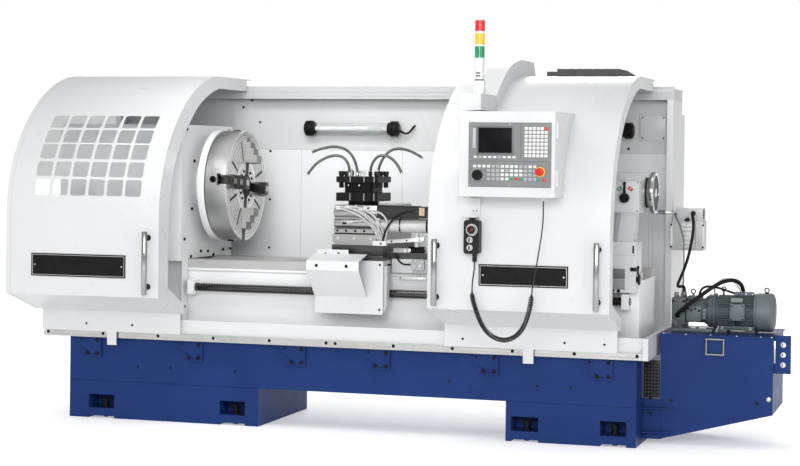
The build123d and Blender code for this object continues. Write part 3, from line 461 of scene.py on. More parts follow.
# ------------------------------------------------------------------ cords
R_HYD = [W(*p) for p in [(3398, 366, 672), (3398, 340, 672), (3414, 318, 690), (3446, 306, 716), (3478, 302, 742), (3516, 304, 771), (3556, 312, 802),
                         (3596, 330, 832), (3636, 356, 856), (3676, 392, 866), (3708, 432, 858), (3726, 470, 836), (3732, 492, 810), (3733, 500, 784)]]
R_LUBE = [W(*p) for p in [(3415, 789, 1204), (3415, 771, 1204), (3418, 757, 1188), (3425, 750, 1161), (3426, 744, 1128), (3424, 737, 1090), (3419, 727, 1048),
                          (3413, 715, 1006), (3405, 698, 964), (3396, 674, 922), (3386, 640, 884), (3378, 600, 852), (3372, 560, 828), (3376, 522, 812),
                          (3396, 495, 815), (3413, 483, 818), (3420, 480, 807), (3420, 480, 790)]]
R_LEAD = [W(*p) for p in [(2490, -459, 973), (2490, -459, 950), (2488, -460.5, 921), (2483, -462.5, 886), (2480, -463.5, 852), (2480, -463.5, 822)]]
R_COIL = [W(*p) for p in [(2480, -463.5, 822), (2480, -463.5, 796), (2490, -465, 762), (2505, -466, 720), (2522, -467, 678), (2546, -469, 637), (2580, -471, 604),
                          (2618, -473, 586), (2656, -475, 581), (2694, -477, 592), (2728, -480, 616), (2754, -483, 652), (2772, -486, 696), (2785, -489, 742),
                          (2793, -492, 785), (2797, -494, 820)]]
R_TAIL = [W(*p) for p in [(2797, -494, 820), (2800.43, -495.714, 850), (2808, -499, 889), (2817, -503, 934), (2826, -507, 986), (2836, -511, 1044), (2846, -515, 1104),
                          (2854, -518, 1164), (2857, -519.5, 1218), (2856, -520, 1258), (2856, -520, 1290)]]


def cord(name, pts, r, node_names, body, mat):
    o = nurbs(name, pts, r)
    o.data.materials.append(mat)
    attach(o, body)
    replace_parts(o, *node_names)
    return o


cord("hydraulic_hose_line", R_HYD, 0.011, ["hydraulic_hose"], "machine_frame", RUBBER)
cord("lube_hose_line", R_LUBE, 0.008, ["lube_hose"], "machine_frame", RUBBER)

# the pendant's curly cable: straight lead, coil, straight tail, one line
WIRE_R, COIL_R, COIL_PITCH = 0.0036, 0.0100, 0.0088
axis_pts = even(along(R_COIL, 16), 0.0005)
total = length_of(axis_pts)
turns = round(total / COIL_PITCH)
u = Vector((1, 0, 0))
helix, run = [], 0.0
per = 14
want = 0
for i, p in enumerate(axis_pts):
    t = (axis_pts[min(i + 1, len(axis_pts) - 1)] - axis_pts[max(i - 1, 0)]).normalized()
    u = (u - t * u.dot(t)).normalized()
    v = t.cross(u)
    if i:
        run += (p - axis_pts[i - 1]).length
    if run >= want * total / (turns * per):
        ph = 2 * math.pi * want / per
        ease = min(1.0, run / 0.022, (total - run) / 0.022)
        ease = max(0.0, ease)
        ease = ease * ease * (3 - 2 * ease)
        helix.append(p + (u * math.cos(ph) + v * math.sin(ph)) * (COIL_R * ease))
        want += 1
cable_pts = R_LEAD[:-1] + helix[2:-2] + R_TAIL[1:]
cable = nurbs("pendant_cable", cable_pts, WIRE_R, 3)
cable.data.bevel_resolution = 2
cable.data.materials.append(plastic("coil_rubber", (0.006, 0.006, 0.006), (0.010, 0.010, 0.010), (0.22, 0.32), 1800.0, 0.05, spec=0.5))
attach(cable, "right_door")
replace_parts(cable, "pendant_lead", "pendant_coil", "pendant_tail")

# ------------------------------------------------------------------ control panel
def masked(name, mats_at, c1, c2, c3, c4, axis, thr, rough=(0.28, 0.4)):
    """Enamel that changes colour past a plane: c1 to c2 on the high side, c3 to c4 on the low side."""
    m, nt, b, co = start(name)
    n1 = nd(nt, "ShaderNodeTexNoise", {"Vector": co, "Scale": mats_at, "Detail": 5.0, "Roughness": 0.6}).outputs["Fac"]
    s = nd(nt, "ShaderNodeSeparateXYZ", {"Vector": co})
    lt = nd(nt, "ShaderNodeMath", {0: s.outputs[axis], 1: thr}, operation="LESS_THAN").outputs[0]
    nt.links.new(mix(nt, lt, ramp(nt, n1, [(0.3, c1), (0.7, c2)]), ramp(nt, n1, [(0.3, c3), (0.7, c4)])), b.inputs["Base Color"])
    rough_from(nt, b, n1, *rough)
    fine = nd(nt, "ShaderNodeTexNoise", {"Vector": co, "Scale": 150.0, "Detail": 2.0}).outputs["Fac"]
    bump_on(nt, b, fine, 0.01, 0.0005)
    return m


FACE = -609.0
CDOOR = masked("panel_two_tone", 6.0, (0.545, 0.553, 0.562), (0.57, 0.578, 0.587), (0.155, 0.16, 0.164), (0.18, 0.185, 0.19), "Y", (-607.4 - OY) / 1000)
nodes["control_door"].data.materials[0] = CDOOR
SCREEN = plastic("screen_black", (0.004, 0.004, 0.005), (0.008, 0.008, 0.009), (0.3, 0.4), 500.0, 0.01, spec=0.04)
KEYW = plastic("key_white", (0.62, 0.62, 0.61), (0.72, 0.72, 0.71), (0.3, 0.42), 2000.0, 0.06)
KEYG = plastic("key_grey", (0.33, 0.335, 0.34), (0.38, 0.385, 0.39), (0.35, 0.45), 2000.0, 0.06)
GREEN = plastic("green_plastic", (0.012, 0.20, 0.075), (0.018, 0.26, 0.10), (0.24, 0.34), 900.0, 0.04)
YELLOW = plastic("yellow_plastic", (0.72, 0.42, 0.02), (0.80, 0.50, 0.03), (0.3, 0.4), 900.0, 0.05)
LINE = plastic("panel_line", (0.085, 0.088, 0.092), (0.11, 0.112, 0.116), (0.4, 0.5), 2000.0, 0.05)

k = Piece()
for x1, x2, z1, z2 in ((2492, 2913, 1356, 1358.5), (2492, 2913, 1674.5, 1677), (2492, 2494.5, 1358.5, 1674.5), (2910.5, 2913, 1358.5, 1674.5)):
    k.box(x1, x2, FACE - 0.9, FACE - 0.02, z1, z2, 4, 0.3, 1)
k.box(2495, 2910, FACE - 0.8, FACE - 0.02, 1483.6, 1486.2, 4, 0.25, 1)
k.box(2755.8, 2758, FACE - 0.8, FACE - 0.02, 1487, 1674, 4, 0.25, 1)
k.box(2533, 2722, FACE - 2.2, FACE - 0.02, 1517, 1660, 4, 1.2)
k.box(2542, 2713, FACE - 3.0, FACE - 2.0, 1526, 1651, 0, 0.5)
k.box(2509, 2530, FACE - 0.9, FACE - 0.02, 1547, 1651, 4, 0.3, 1)
k.box(2511, 2528, FACE - 1.6, FACE - 0.8, 1549, 1649, 5, 0.4)
for i in range(6):
    for j in range(8):
        x, z = 2775 + 121 * (i + 0.5) / 6, 1504 + 154 * (j + 0.5) / 8
        m = 2 if (i, j) == (5, 7) else 1
        k.box(x - 7.6, x + 7.6, FACE - 2.4, FACE - 0.02, z - 7.0, z + 7.0, m, 1.0)
        if m == 1 and not (i + 2 * j) % 5 == 0:
            k.box(x - 3.2, x + 2.2 + (i * j) % 3, FACE - 2.55, FACE - 2.3, z - 0.8, z + 0.9, 4)
for i in range(9):
    x = 2526 + 24.8 * i
    k.box(x - 8, x + 8, FACE - 1.6, FACE - 0.02, 1500.5, 1509.5, 1 if i not in (1, 5) else 5, 0.8)
for r, z in enumerate((1459.0, 1438.0, 1417.5, 1397.0)):
    for i in range(14):
        if r and i < 3:
            continue
        x = 2524 + 23.6 * i
        if r and x > 2836:
            continue
        if r == 3 and i in (8, 10):
            m = 3
        elif r == 3 and i == 9:
            m = 2
        elif r == 0:
            m = 1 if i in (0, 1, 2, 3, 6, 7, 8, 9, 12, 13) else 5
        else:
            m = 1 if 6 <= i <= 10 and not (r == 1 and i == 7) else 5
        k.box(x - 8, x + 8, FACE - 2.2, FACE - 0.02, z - 6.4, z + 6.4, m, 1.0)
        if m in (1, 5):
            k.box(x - 3.0, x + 3.0, FACE - 2.35, FACE - 2.1, z - 0.7, z + 0.7, 4)
for x, m in ((2852, 3), (2879, 2)):
    k.box(x - 9, x + 9, FACE - 2.2, FACE - 0.02, 1386, 1399, m, 1.0)
for d in range(-135, 136, 15):
    a = math.radians(d)
    k.box(2540 + 33.5 * math.sin(a) - 0.8, 2540 + 33.5 * math.sin(a) + 0.8, FACE - 0.5, FACE - 0.02, 1415 + 33.5 * math.cos(a) - 3, 1415 + 33.5 * math.cos(a) + 3, 1, 0, 1, ("Y", d))
for x, z in ((2500, 1364), (2905, 1364), (2500, 1669), (2905, 1669), (2702, 1364), (2702, 1669), (2500, 1492), (2905, 1492)):
    k.cyl((x, FACE - 0.02, z), "-y", 1.2, 3.2, 5, 16, 0.5)
k.done("panel_keys", "control_door", SCREEN, KEYW, RED, GREEN, LINE, KEYG)
Piece().ring((2859, FACE - 0.05, 1434), "-y", 3.8, 13.0, 25.5, 0, 48, 1.0).done("stop_ring", "control_door", YELLOW)
kp = Piece()
kp.box(2538.6, 2541.4, FACE - 26.5, FACE - 25.8, 1438.2, 1439.8, 0, 0.2, 1)
for i in range(24):
    a = 2 * math.pi * i / 24
    kp.lathe((2540 + 24.7 * math.sin(a), FACE - 24.5, 1415 + 24.7 * math.cos(a)), "y", [(0, 0), (0, 0.8), (1, 1.4), (21, 1.4), (22, 0.8), (22, 0)], 8, 1)
kp.done("override_grip", "override_knob", WHITEP, BLACKP)

# bare plates: a fine bright line round each
for nm, body, x1, x2, z1, z2 in (("left_plate_line", "left_door", -28, 535, 825, 949), ("right_plate_line", "right_door", 2503, 2966, 849, 959)):
    p = Piece()
    e, w = 6.0, 3.2
    y1, y2 = -424.9, -423.9
    p.box(x1 + e, x2 - e, y1, y2, z1 + e, z1 + e + w, 0, 0.3, 1).box(x1 + e, x2 - e, y1, y2, z2 - e - w, z2 - e, 0, 0.3, 1)
    p.box(x1 + e, x1 + e + w, y1, y2, z1 + e + w, z2 - e - w, 0, 0.3, 1).box(x2 - e - w, x2 - e, y1, y2, z1 + e + w, z2 - e - w, 0, 0.3, 1)
    for x in (x1 + 22, x2 - 22):
        p.cyl((x, y2, (z1 + z2) / 2), "-y", 2.4, 4.5, 0, 20, 0.8)
    p.done(nm, body, STEEL)

# ------------------------------------------------------------------ signal tower
TX, TY = 2470.0, -330.0
LRED = plastic("lamp_red", (0.50, 0.010, 0.008), (0.62, 0.018, 0.012), (0.12, 0.2), 600.0, 0.03, coat=0.4)
LAMB = plastic("lamp_amber", (0.85, 0.36, 0.02), (0.92, 0.44, 0.03), (0.12, 0.2), 600.0, 0.03, coat=0.4)
LGRN = plastic("lamp_green", (0.010, 0.19, 0.075), (0.016, 0.25, 0.10), (0.12, 0.2), 600.0, 0.03, coat=0.4)
t = Piece()
t.box(TX - 28, TX + 28, TY - 20, TY + 20, 1827, 1896, 0, 2.5)
t.box(TX - 24, TX + 24, TY - 17, TY + 17, 1896, 1903, 4, 1.0)
t.lathe((TX, TY, 1903), "z", [(0, 0), (0, 23), (1.5, 24.5), (34, 24.5), (35, 22.5), (39, 22.5), (40, 24.8), (103, 24.8), (105, 23.5), (105, 0)], 48, 0)
for z in (1916, 1931):
    t.box(TX - 12, TX + 10, TY - 25.2, TY - 22, z, z + 8, 4, 0.5)
for z1, z2, m in ((2008, 2013, 0), (2072, 2081, 0), (2139, 2149, 0)):
    t.lathe((TX, TY, z1), "z", [(0, 0), (0, 26), (1, 27), (z2 - z1 - 1, 27), (z2 - z1, 26), (z2 - z1, 0)], 48, m)
for z1, z2, m in ((2013, 2072, 1), (2081, 2139, 2), (2149, 2206, 3)):
    t.lathe((TX, TY, z1), "z", [(0, 0), (0, 24.2), (z2 - z1, 24.2), (z2 - z1, 0)], 48, m)
    for i in range(30):
        a = 2 * math.pi * i / 30
        t.lathe((TX + 24.0 * math.cos(a), TY + 24.0 * math.sin(a), z1 + 1.5), "z", [(0, 0), (0.8, 1.1), (z2 - z1 - 3.8, 1.1), (z2 - z1 - 3, 0)], 6, m)
t.lathe((TX, TY, 2206), "z", [(0, 0), (0, 25.5), (5, 25.5), (9, 22), (11, 12), (11, 0)], 48, 0)
tw = t.done("tower_lamps", "right_door", WHITEP, LGRN, LAMB, LRED, LINE)
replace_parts(tw, "signal_tower")

# ------------------------------------------------------------------ work lights
TUBE = glass("lamp_glass", (0.95, 0.97, 0.98), (0.02, 0.08))
TUBEW = plastic("lamp_tube_white", (0.86, 0.87, 0.88), (0.92, 0.92, 0.93), (0.25, 0.35), 700.0, 0.02)
lm = Piece()
for a, b in ((1081, 1667), (2474, 3060)):
    y, z = 898, 1662
    for x0, ax in ((a, "x"), (b, "-x")):
        lm.lathe((x0, y, z), ax, [(0, 0), (0, 30), (3, 36), (8, 38), (9, 45.5), (26, 46), (27, 40), (33, 40), (34, 46), (50, 45.5), (51, 37), (66, 36), (66, 0)], 40, 0)
        s = 1 if ax == "x" else -1
        for i in range(9):
            t0 = 2 * math.pi * i / 9
            lm.lathe((x0 + s * 9, y + 40 * math.cos(t0), z + 40 * math.sin(t0)), ax, [(0, 0), (0.5, 5.2), (40, 5.2), (41, 0)], 10, 0)
    lm.lathe((a + 60, y, z), "x", [(0, 0), (0, 13), (b - a - 120, 13), (b - a - 120, 0)], 24, 1)
    lm.box(a + 60, b - 60, y + 16, y + 19, z - 24, z + 24, 3, 0.8)
    for x in (a + 15, b - 50):
        lm.box(x, x + 35, y + 34, 956, z - 16, z + 16, 0, 2.0)
    lm.box(b - 190, b - 110, y - 15.5, y - 13, z - 12, z + 10, 3, 0.8)
lo = lm.done("lamp_bodies", "machine_frame", BLACKP, TUBEW, STEEL, WHITEP)
lg = Piece()
for a, b in ((1081, 1667), (2474, 3060)):
    lg.ring((a + 62, 898, 1662), "x", b - a - 124, 30.5, 33.0, 0, 48, 0.4)
lgo = lg.done("lamp_glasses", "machine_frame", TUBE)
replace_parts(lo, "work_lights")
# short cable from the left lamp's cap down to the panel
c = even(along([W(*q) for q in [(1667, 898, 1652), (1676, 899, 1650), (1690, 902, 1640), (1706, 908, 1634), (1722, 916, 1640), (1734, 926, 1656), (1742, 938, 1672), (1746, 950, 1680), (1747, 957, 1683)]], 10), 0.004)
Piece().tube(c, 6.0, 0, 10).done("lamp_cable", "machine_frame", RUBBER)

# ------------------------------------------------------------------ feed screw with its thread
def thread_piece(piece, x1, x2, y, z, root, crest, pitch, m=0, seg=20):
    n = int((x2 - x1) / pitch * seg)
    prof = [(0.0, root), (0.30, root), (0.45, crest), (0.80, crest), (0.95, root)]
    rows = []
    for i in range(n + 1):
        a = 2 * math.pi * i / seg
        x0 = x1 + pitch * i / seg
        rows.append([piece.bm.verts.new(W(min(x0 + f * pitch, x2), y + r * math.cos(a), z + r * math.sin(a))) for f, r in prof])
    for i in range(n):
        for q in range(len(prof) - 1):
            piece.bm.faces.new((rows[i][q], rows[i + 1][q], rows[i + 1][q + 1], rows[i][q + 1])).material_index = m
        if i + 1 + seg <= n:
            piece.bm.faces.new((rows[i][-1], rows[i + 1][-1], rows[i + 1 + seg][0], rows[i + seg][0])).material_index = m
    return piece


SCREWM = metal("screw_steel", (0.075, 0.075, 0.075), (0.14, 0.14, 0.137), (0.16, 0.26), (160.0, 8.0, 8.0), 0.03)
bs = thread_piece(Piece(), 730, 3146, 100, 753, 19.4, 23.9, 16.0, 0, 18)
bs.lathe((683, 100, 753), "x", [(0, 0), (0, 18.8), (1.2, 20), (44.5, 20), (44.5, 23.8), (48, 23.8), (48, 19.3), (2463, 19.3), (2463, 23.8), (2466.5, 23.8), (2466.5, 20), (2509.8, 20), (2511, 18.8), (2511, 0)], 36, 0)
bso = bs.done("feed_screw", "z_ballscrew", SCREWM, sharp=40.0)
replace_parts(bso, "z_ballscrew")

# ------------------------------------------------------------------ two-tone castings and panels; painted light and shade on the bed's white, the back panels and the side jaws
# bed: machined ways above z 858 and white paint below; the white is set brighter than the white enamel, as painted
# light on the bed's front
BED_TWO_TONE_LIT = masked("bed_two_tone_painted_lit", 5.0, (0.34, 0.34, 0.335), (0.43, 0.43, 0.425), (0.73, 0.738, 0.746), (0.765, 0.772, 0.778), "Z", 0.858)
nodes["bed"].data.materials[0] = BED_TWO_TONE_LIT
MOTORM = masked("motor_two_tone", 14.0, (0.007, 0.007, 0.0075), (0.012, 0.012, 0.0125), (0.50, 0.50, 0.495), (0.62, 0.62, 0.61), "Z", 1.1665)
nodes["tool_motor"].data.materials[0] = MOTORM
# back panels: the same white enamel, lighter below z 1534 than above, as painted light and shade
BACK_PAINTED_LIGHT = masked("panel_white_painted_light", 3.0, (0.56, 0.567, 0.574), (0.60, 0.607, 0.613), (0.71, 0.719, 0.727), (0.735, 0.743, 0.751), "Z", 1.534)
nodes["back_panels"].data.materials[0] = BACK_PAINTED_LIGHT
JAWM = metal("jaw_steel", (0.25, 0.25, 0.247), (0.32, 0.32, 0.315), (0.46, 0.54), (200.0, 200.0, 4.0), 0.03)
# darker copy of the jaw steel for the two side jaws: painted shade
JAW_PAINTED_SHADE = metal("jaw_steel_painted_shade", (0.045, 0.044, 0.043), (0.085, 0.083, 0.08), (0.3, 0.42), (160.0, 160.0, 6.0), 0.04)
STEELD = metal("dull_steel", (0.22, 0.22, 0.218), (0.30, 0.30, 0.295), (0.36, 0.48), (60.0, 60.0, 60.0), 0.02)
SLIDEM = metal("slide_steel", (0.36, 0.36, 0.356), (0.42, 0.42, 0.415), (0.3, 0.36), (3.0, 160.0, 160.0), 0.008, 3.0)
SADDLEM = metal("oiled_iron", (0.06, 0.06, 0.06), (0.12, 0.12, 0.118), (0.24, 0.4), (4.0, 120.0, 120.0), 0.03)
CHAINM = plastic("chain_grey", (0.030, 0.030, 0.031), (0.055, 0.055, 0.057), (0.3, 0.42), 900.0, 0.06, spec=0.35)
# the spindle takes the near-black dark_plastic: painted shade for the bore in the chuck's centre
for n, m in (("chuck_jaw_1", JAWM), ("chuck_jaw_3", JAWM), ("chuck_jaw_2", JAW_PAINTED_SHADE), ("chuck_jaw_4", JAW_PAINTED_SHADE), ("tool_bolts", BLACK), ("levelling_screws", BLACK),
             ("jaw_screws", BLACK), ("headstock_cover", WHITE_PAINTED_LIT), ("spindle", DARK), ("cross_slide", SLIDEM), ("saddle", SADDLEM), ("tank_handle", STEELD), ("drag_chain", CHAINM)):
    nodes[n].data.materials[0] = m
BRIGHT = metal("bright_steel", (0.62, 0.62, 0.61), (0.72, 0.72, 0.71), (0.25, 0.36), (60.0, 60.0, 60.0), 0.02)
CABLEG = plastic("cable_grey", (0.36, 0.36, 0.355), (0.46, 0.46, 0.455), (0.3, 0.4), 1600.0, 0.05, spec=0.4)
RIBHOSE = plastic("ribbed_hose", (0.10, 0.10, 0.102), (0.15, 0.15, 0.153), (0.2, 0.28), 1600.0, 0.03, metallic=1.0)
TAN = plastic("bare_tag", (0.42, 0.33, 0.20), (0.50, 0.40, 0.26), (0.4, 0.5), 1200.0, 0.05)
GREENM = paint("motor_enamel", (0.062, 0.078, 0.084), (0.085, 0.102, 0.108), (0.36, 0.5), peel=380.0, peel_s=0.07, cloud=12.0, spec=0.3)
GREENL = paint("motor_enamel_light", (0.10, 0.12, 0.128), (0.13, 0.15, 0.158), (0.36, 0.5), peel=380.0, peel_s=0.07, cloud=14.0, spec=0.3)

# small edge radii on the folded and machined nodes
for n, w in (("tailstock", 3.0), ("cross_slide", 1.5), ("saddle", 2.0), ("apron", 2.0), ("chip_guard", 0.9),
             ("base_frame", 2.5), ("chip_tray", 1.2), ("coolant_tank", 1.5), ("headstock_cover", 1.2), ("chuck_guard", 1.0), ("tool_post", 1.5),
             ("tool_motor", 1.5), ("tray_brackets", 1.5), ("front_rail", 1.0), ("bed", 1.5), ("control_door", 1.2)):
    wd = nodes[n].modifiers.new("join", "WELD")
    wd.merge_threshold = 0.00002
    bv = nodes[n].modifiers.new("edge", "BEVEL")
    bv.width, bv.segments, bv.limit_method, bv.angle_limit = w / 1000, 2, "ANGLE", math.radians(34.0)

# ------------------------------------------------------------------ door handles
HANDLEM = metal("handle_chrome", (0.33, 0.335, 0.34), (0.40, 0.405, 0.41), (0.10, 0.18), (120.0, 120.0, 6.0), 0.02)
for nm, body, node_name, xs in (("left_bar", "left_door", "left_handle", (667,)), ("right_bars", "right_door", "right_handles", (2279, 3118))):
    h = Piece()
    for x in xs:
        h.lathe((x, -470, 742), "z", [(0, 0), (0, 11), (1, 13.4), (4, 15), (338, 15), (341, 13.4), (342, 11), (342, 0)], 32, 0)
        for z in (784, 1048):
            h.lathe((x, -420, z), "-y", [(0, 0), (0, 16), (3, 16), (4, 14.5), (5, 9.6), (37, 9.6), (37, 0)], 28, 1)
    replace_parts(h.done(nm, body, HANDLEM, BLACK), node_name)

# ------------------------------------------------------------------ chuck: slot floors and face ring lines in black as painted shade, hub bolts, jaw screw ticks as painted highlights
def about_axis(x, r, deg):
    """Point on the chuck at radius r, deg from straight up towards the front, with the chuck's own turn."""
    a = math.radians(deg + 7.0)
    return (x, AX_Y - r * math.sin(a) * -1.0, AX_Z + r * math.cos(a))


def radial(piece, x1, x2, r1, r2, w, deg, m):
    """A flat bar on the chuck face from r1 to r2."""
    rm = (r1 + r2) / 2
    _, y, z = about_axis(x1, rm, deg)
    piece.box(x1, x2, y - w / 2, y + w / 2, z - (r2 - r1) / 2, z + (r2 - r1) / 2, m, 0.0, 1, ("X", -(deg + 7.0)))


HALF = 26.0


def face_arcs(piece, x, length, r_in, r_out, half, m):
    """Ring line on the chuck's face in four arcs, which stop short of the jaw slots."""
    gap = math.degrees(math.asin(half / r_in))
    for q in range(4):
        a0, a1 = q * 90 + gap, q * 90 + 90 - gap
        sets = []
        for k in range(19):
            d = a0 + (a1 - a0) * k / 18
            sets.append([piece.bm.verts.new(W(*about_axis(xx, r, d))) for xx, r in ((x, r_in), (x, r_out), (x + length, r_out), (x + length, r_in))])
        for s0, s1 in zip(sets, sets[1:]):
            for i in range(4):
                piece.bm.faces.new((s0[i], s0[(i + 1) % 4], s1[(i + 1) % 4], s1[i])).material_index = m
        piece.bm.faces.new(sets[0][::-1]).material_index = m
        piece.bm.faces.new(sets[-1]).material_index = m


ck = Piece()
# black bars at the slot floors: painted shade in the jaw slots
for d in (25, 65, 115, 155, 205, 245, 295, 335):
    radial(ck, 878.6, 880.2, 151, 261, 13.2, -d, 0)
for i in range(8):
    _, y, z = about_axis(0, 92, i // 2 * 90 + (33, 57)[i % 2])
    ck.lathe((903, y, z), "x", [(0, 0), (0, 8.6), (5, 8.6), (6, 7.6), (6, 4.8), (3, 4.4), (3, 0)], 20, 0)
ck.ring((904.4, AX_Y, AX_Z), "x", 3.2, 53.0, 66.0, 0, 64, 1.0)
# black ring lines on the face: painted shade in the face grooves
face_arcs(ck, 904.6, 0.7, 104.5, 107.0, HALF, 0)
face_arcs(ck, 904.6, 0.7, 118.0, 119.4, HALF, 0)
for r in (150, 175, 200, 225, 250, 275):
    face_arcs(ck, 903.02, 0.5, r - 1.4, r + 1.4, HALF, 0)
for r in (163, 188, 212, 238, 262, 291):
    face_arcs(ck, 904.9, 0.4, r - 1.2, r + 1.2, HALF, 0)
ck.done("chuck_bolts_and_painted_groove_shade", "spindle", BLACK, BRIGHT)

# ticks on the two side jaws (painted shade): bright strips as painted highlights on the screw crests in the cut beside
# the steps
for k, body, dg in ((2, "jaw_2", 90), (4, "jaw_4", 270)):
    t = Piece()
    for i in range(13):
        r = 134 + 9.0 * i
        x_top = 905 + (70 if r < 171 else 48 if r < 209 else 26)
        radial(t, x_top - 0.3, x_top + 0.9, r, r + 3.6, 30, -dg, 0)
    t.done("jaw_%d_ticks" % k, body, BRIGHT)

# ------------------------------------------------------------------ tool post: eye bolts, fittings, ribbed hoses
tpz = Piece()
for x, y, r in ((1697, 150, 11), (1640, 250, 11)):
    tpz.lathe((x, y, 1387.5), "z", [(0, 0), (0, 9), (4, 9), (5, 5.5), (14, 5), (14, 0)], 20, 0)
    tpz.ring((x, y + 3, 1411), "-y", 6, r - 5.5, r, 0, 24, 1.2)
for x, y in ((1771, 148), (1589, 252)):
    tpz.lathe((x, y, 1387.5), "z", [(0, 0), (0, 8), (26, 8), (28, 10.5), (38, 10.5), (41, 7), (41, 0)], 20, 0)
for x in (1778, 1640, 1720):
    tpz.box(x - 2, x + 2, 78.6, 80.2, 1257, 1296, 0, 0.5, 1)
    tpz.box(x - 2, x + 2, 78.6, 80.2, 1359, 1385, 0, 0.5, 1)
for x in (1616, 1680, 1744):
    tpz.lathe((x, 117.8, 1340), "-y", [(0, 0), (0, 5.5), (3, 5.5), (4, 4), (4, 0)], 16, 0)
hose_shapes = [[(0, 1388), (0, 1424), (-8, 1456), (-26, 1484), (-53, 1500), (-86, 1503), (-121, 1496), (-157, 1481), (-191, 1459), (-221, 1428), (-245, 1394)],
               [(0, 1388), (0, 1420), (-8, 1456), (-24, 1492), (-48, 1522), (-80, 1542), (-117, 1551), (-156, 1551), (-196, 1544), (-235, 1533), (-270, 1519)],
               [(0, 1388), (0, 1424), (8, 1456), (25, 1484), (48, 1503), (76, 1507), (104, 1500), (130, 1484), (152, 1461), (170, 1434), (183, 1405)],
               [(0, 1388), (0, 1420), (9, 1454), (26, 1489), (49, 1518), (79, 1538), (113, 1546), (149, 1542), (185, 1531), (221, 1514), (255, 1494)]]
rh = Piece()
for i, (hx, hy) in enumerate(((1610, 160), (1628, 240), (1730, 160), (1750, 240))):
    pts = even(along([W(hx + d, hy + (-1) ** (i + 1) * 0.02 * abs(d), z) for d, z in hose_shapes[i]], 12), 0.0021)
    rh.tube(pts, 8.0, 0, 14, [8.0 if j % 3 else 6.7 for j in range(len(pts))])
    rh.lathe((hx, hy, 1387.6), "z", [(0, 0), (0, 12), (8, 12), (9, 9.6), (24, 9.2), (25, 8.4), (25, 0)], 6, 1)
    a, b = pts[-3], pts[-1]
    rh.tube([b - (b - a) * 1.6, b], 8.2, 1, 14)
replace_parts(rh.done("ribbed_hoses", "tool_post", RIBHOSE, CHROME, sharp=60.0), "coolant_hoses")
tpz.done("tool_post_fittings", "tool_post", BRIGHT)

# ------------------------------------------------------------------ cross slide: lines, screws, manifold, cables
cs = Piece()
for x in (1590, 1640, 1692, 1744, 1800):
    cs.lathe((x, 21.6, 1093), "-y", [(0, 0), (0, 6.2), (4, 6.2), (5, 5), (5, 3.2), (2.6, 3), (2.6, 0)], 16, 1)
for x in (1598, 1692, 1786):
    cs.lathe((x, 5.6, 1053), "-y", [(0, 0), (0, 7), (2.6, 7), (3.4, 6), (3.4, 0)], 18, 2)
cs.box(1572, 1821, 21, 24, 1075.2, 1081, 1, 0.5)
cs.box(1572, 1821, 14, 22, 1104, 1107.5, 1, 0.5)
cs.box(1799, 1876, -2, 40, 1016.5, 1042, 0, 2.0)
cs.lathe((1846, -1.6, 1029), "-y", [(0, 0), (0, 5), (2, 5), (2.6, 4), (2.6, 0)], 16, 1)
cs.prism([(1876, 1031), (2086, 1046), (2086, 1067), (1876, 1049)], "y", 4, 22, 2, 1.0)
for x, z in ((1905, 1042), (1990, 1049), (2062, 1055)):
    cs.lathe((x, 4, z), "-y", [(0, 0), (0, 5), (2.4, 5), (3, 4), (3, 0)], 16, 1)
cs.lathe((2031, 62, 1012), "z", [(0, 0), (0, 11), (2, 12.5), (84, 12.5), (96, 9), (101, 4), (102, 0)], 24, 0)
cs.box(2058, 2088, 2.2, 3.4, 1184, 1226, 3, 0.4)
for x, z in ((2062, 1188), (2084, 1188), (2062, 1222), (2084, 1222)):
    cs.lathe((x, 2.4, z), "-y", [(0, 0), (0, 2), (0.8, 1.8), (0.8, 0)], 12, 2)
cs.box(1823.5, 2053.5, -1.2, 0.4, 1229, 1234.6, 4, 0.4)
cs.box(1823.5, 2053.5, -1.2, 0.4, 1168.4, 1173, 4, 0.4)
cs.box(1940, 1946, 20.5, 24.5, 1096, 1160, 1, 0.5)
cs.ring((1938, 60, 1127), "x", 10, 37.5, 39.6, 2, 48, 0.6)
cs.ring((2090, 60, 1127), "x", 12, 37.5, 39.6, 4, 48, 0.6)
cs.done("cross_slide_parts", "cross_slide", WHITE, BLACK, BRIGHT, TAN, BLACKP)
wires = Piece()
runs = [([(1607, 6, 1222), (1640, 2, 1221), (1690, 0, 1209), (1737, -3, 1189), (1780, -6, 1158), (1815, -5, 1112), (1840, 4, 1070), (1852, 12, 1040)], 5.0, 0),
        ([(1612, 6, 1212), (1650, 1, 1206), (1700, -2, 1188), (1745, -5, 1164), (1785, -6, 1130), (1818, -4, 1090), (1836, 6, 1058), (1842, 14, 1040)], 5.0, 0),
        ([(1660, 6, 1225), (1700, 0, 1224), (1745, -4, 1214), (1790, -8, 1192), (1828, -8, 1156), (1852, -4, 1112), (1862, 6, 1068), (1864, 14, 1040)], 5.0, 0),
        ([(1668, 8, 1215), (1712, 0, 1206), (1756, -4, 1188), (1796, -7, 1160), (1826, -6, 1122), (1846, -2, 1086), (1856, 8, 1054), (1858, 14, 1040)], 4.6, 0),
        ([(1648, 10, 1134), (1680, 2, 1140), (1716, -2, 1152), (1754, -4, 1152), (1788, -5, 1130), (1812, -4, 1094), (1826, 4, 1060), (1830, 14, 1040)], 5.0, 0),
        ([(1800, 4, 1206), (1830, -3, 1200), (1862, -7, 1182), (1882, -8, 1152), (1884, -6, 1110), (1876, -2, 1070), (1870, 12, 1040)], 5.0, 0),
        ([(2030, 0, 1206), (1998, -8, 1206), (1960, -12, 1196), (1922, -13, 1170), (1892, -12, 1130), (1868, -8, 1086), (1858, 2, 1056), (1852, 14, 1040)], 5.6, 1)]
for q, r, m in runs:
    wires.tube(even(along([W(*p) for p in q], 8), 0.006), r, m, 10)
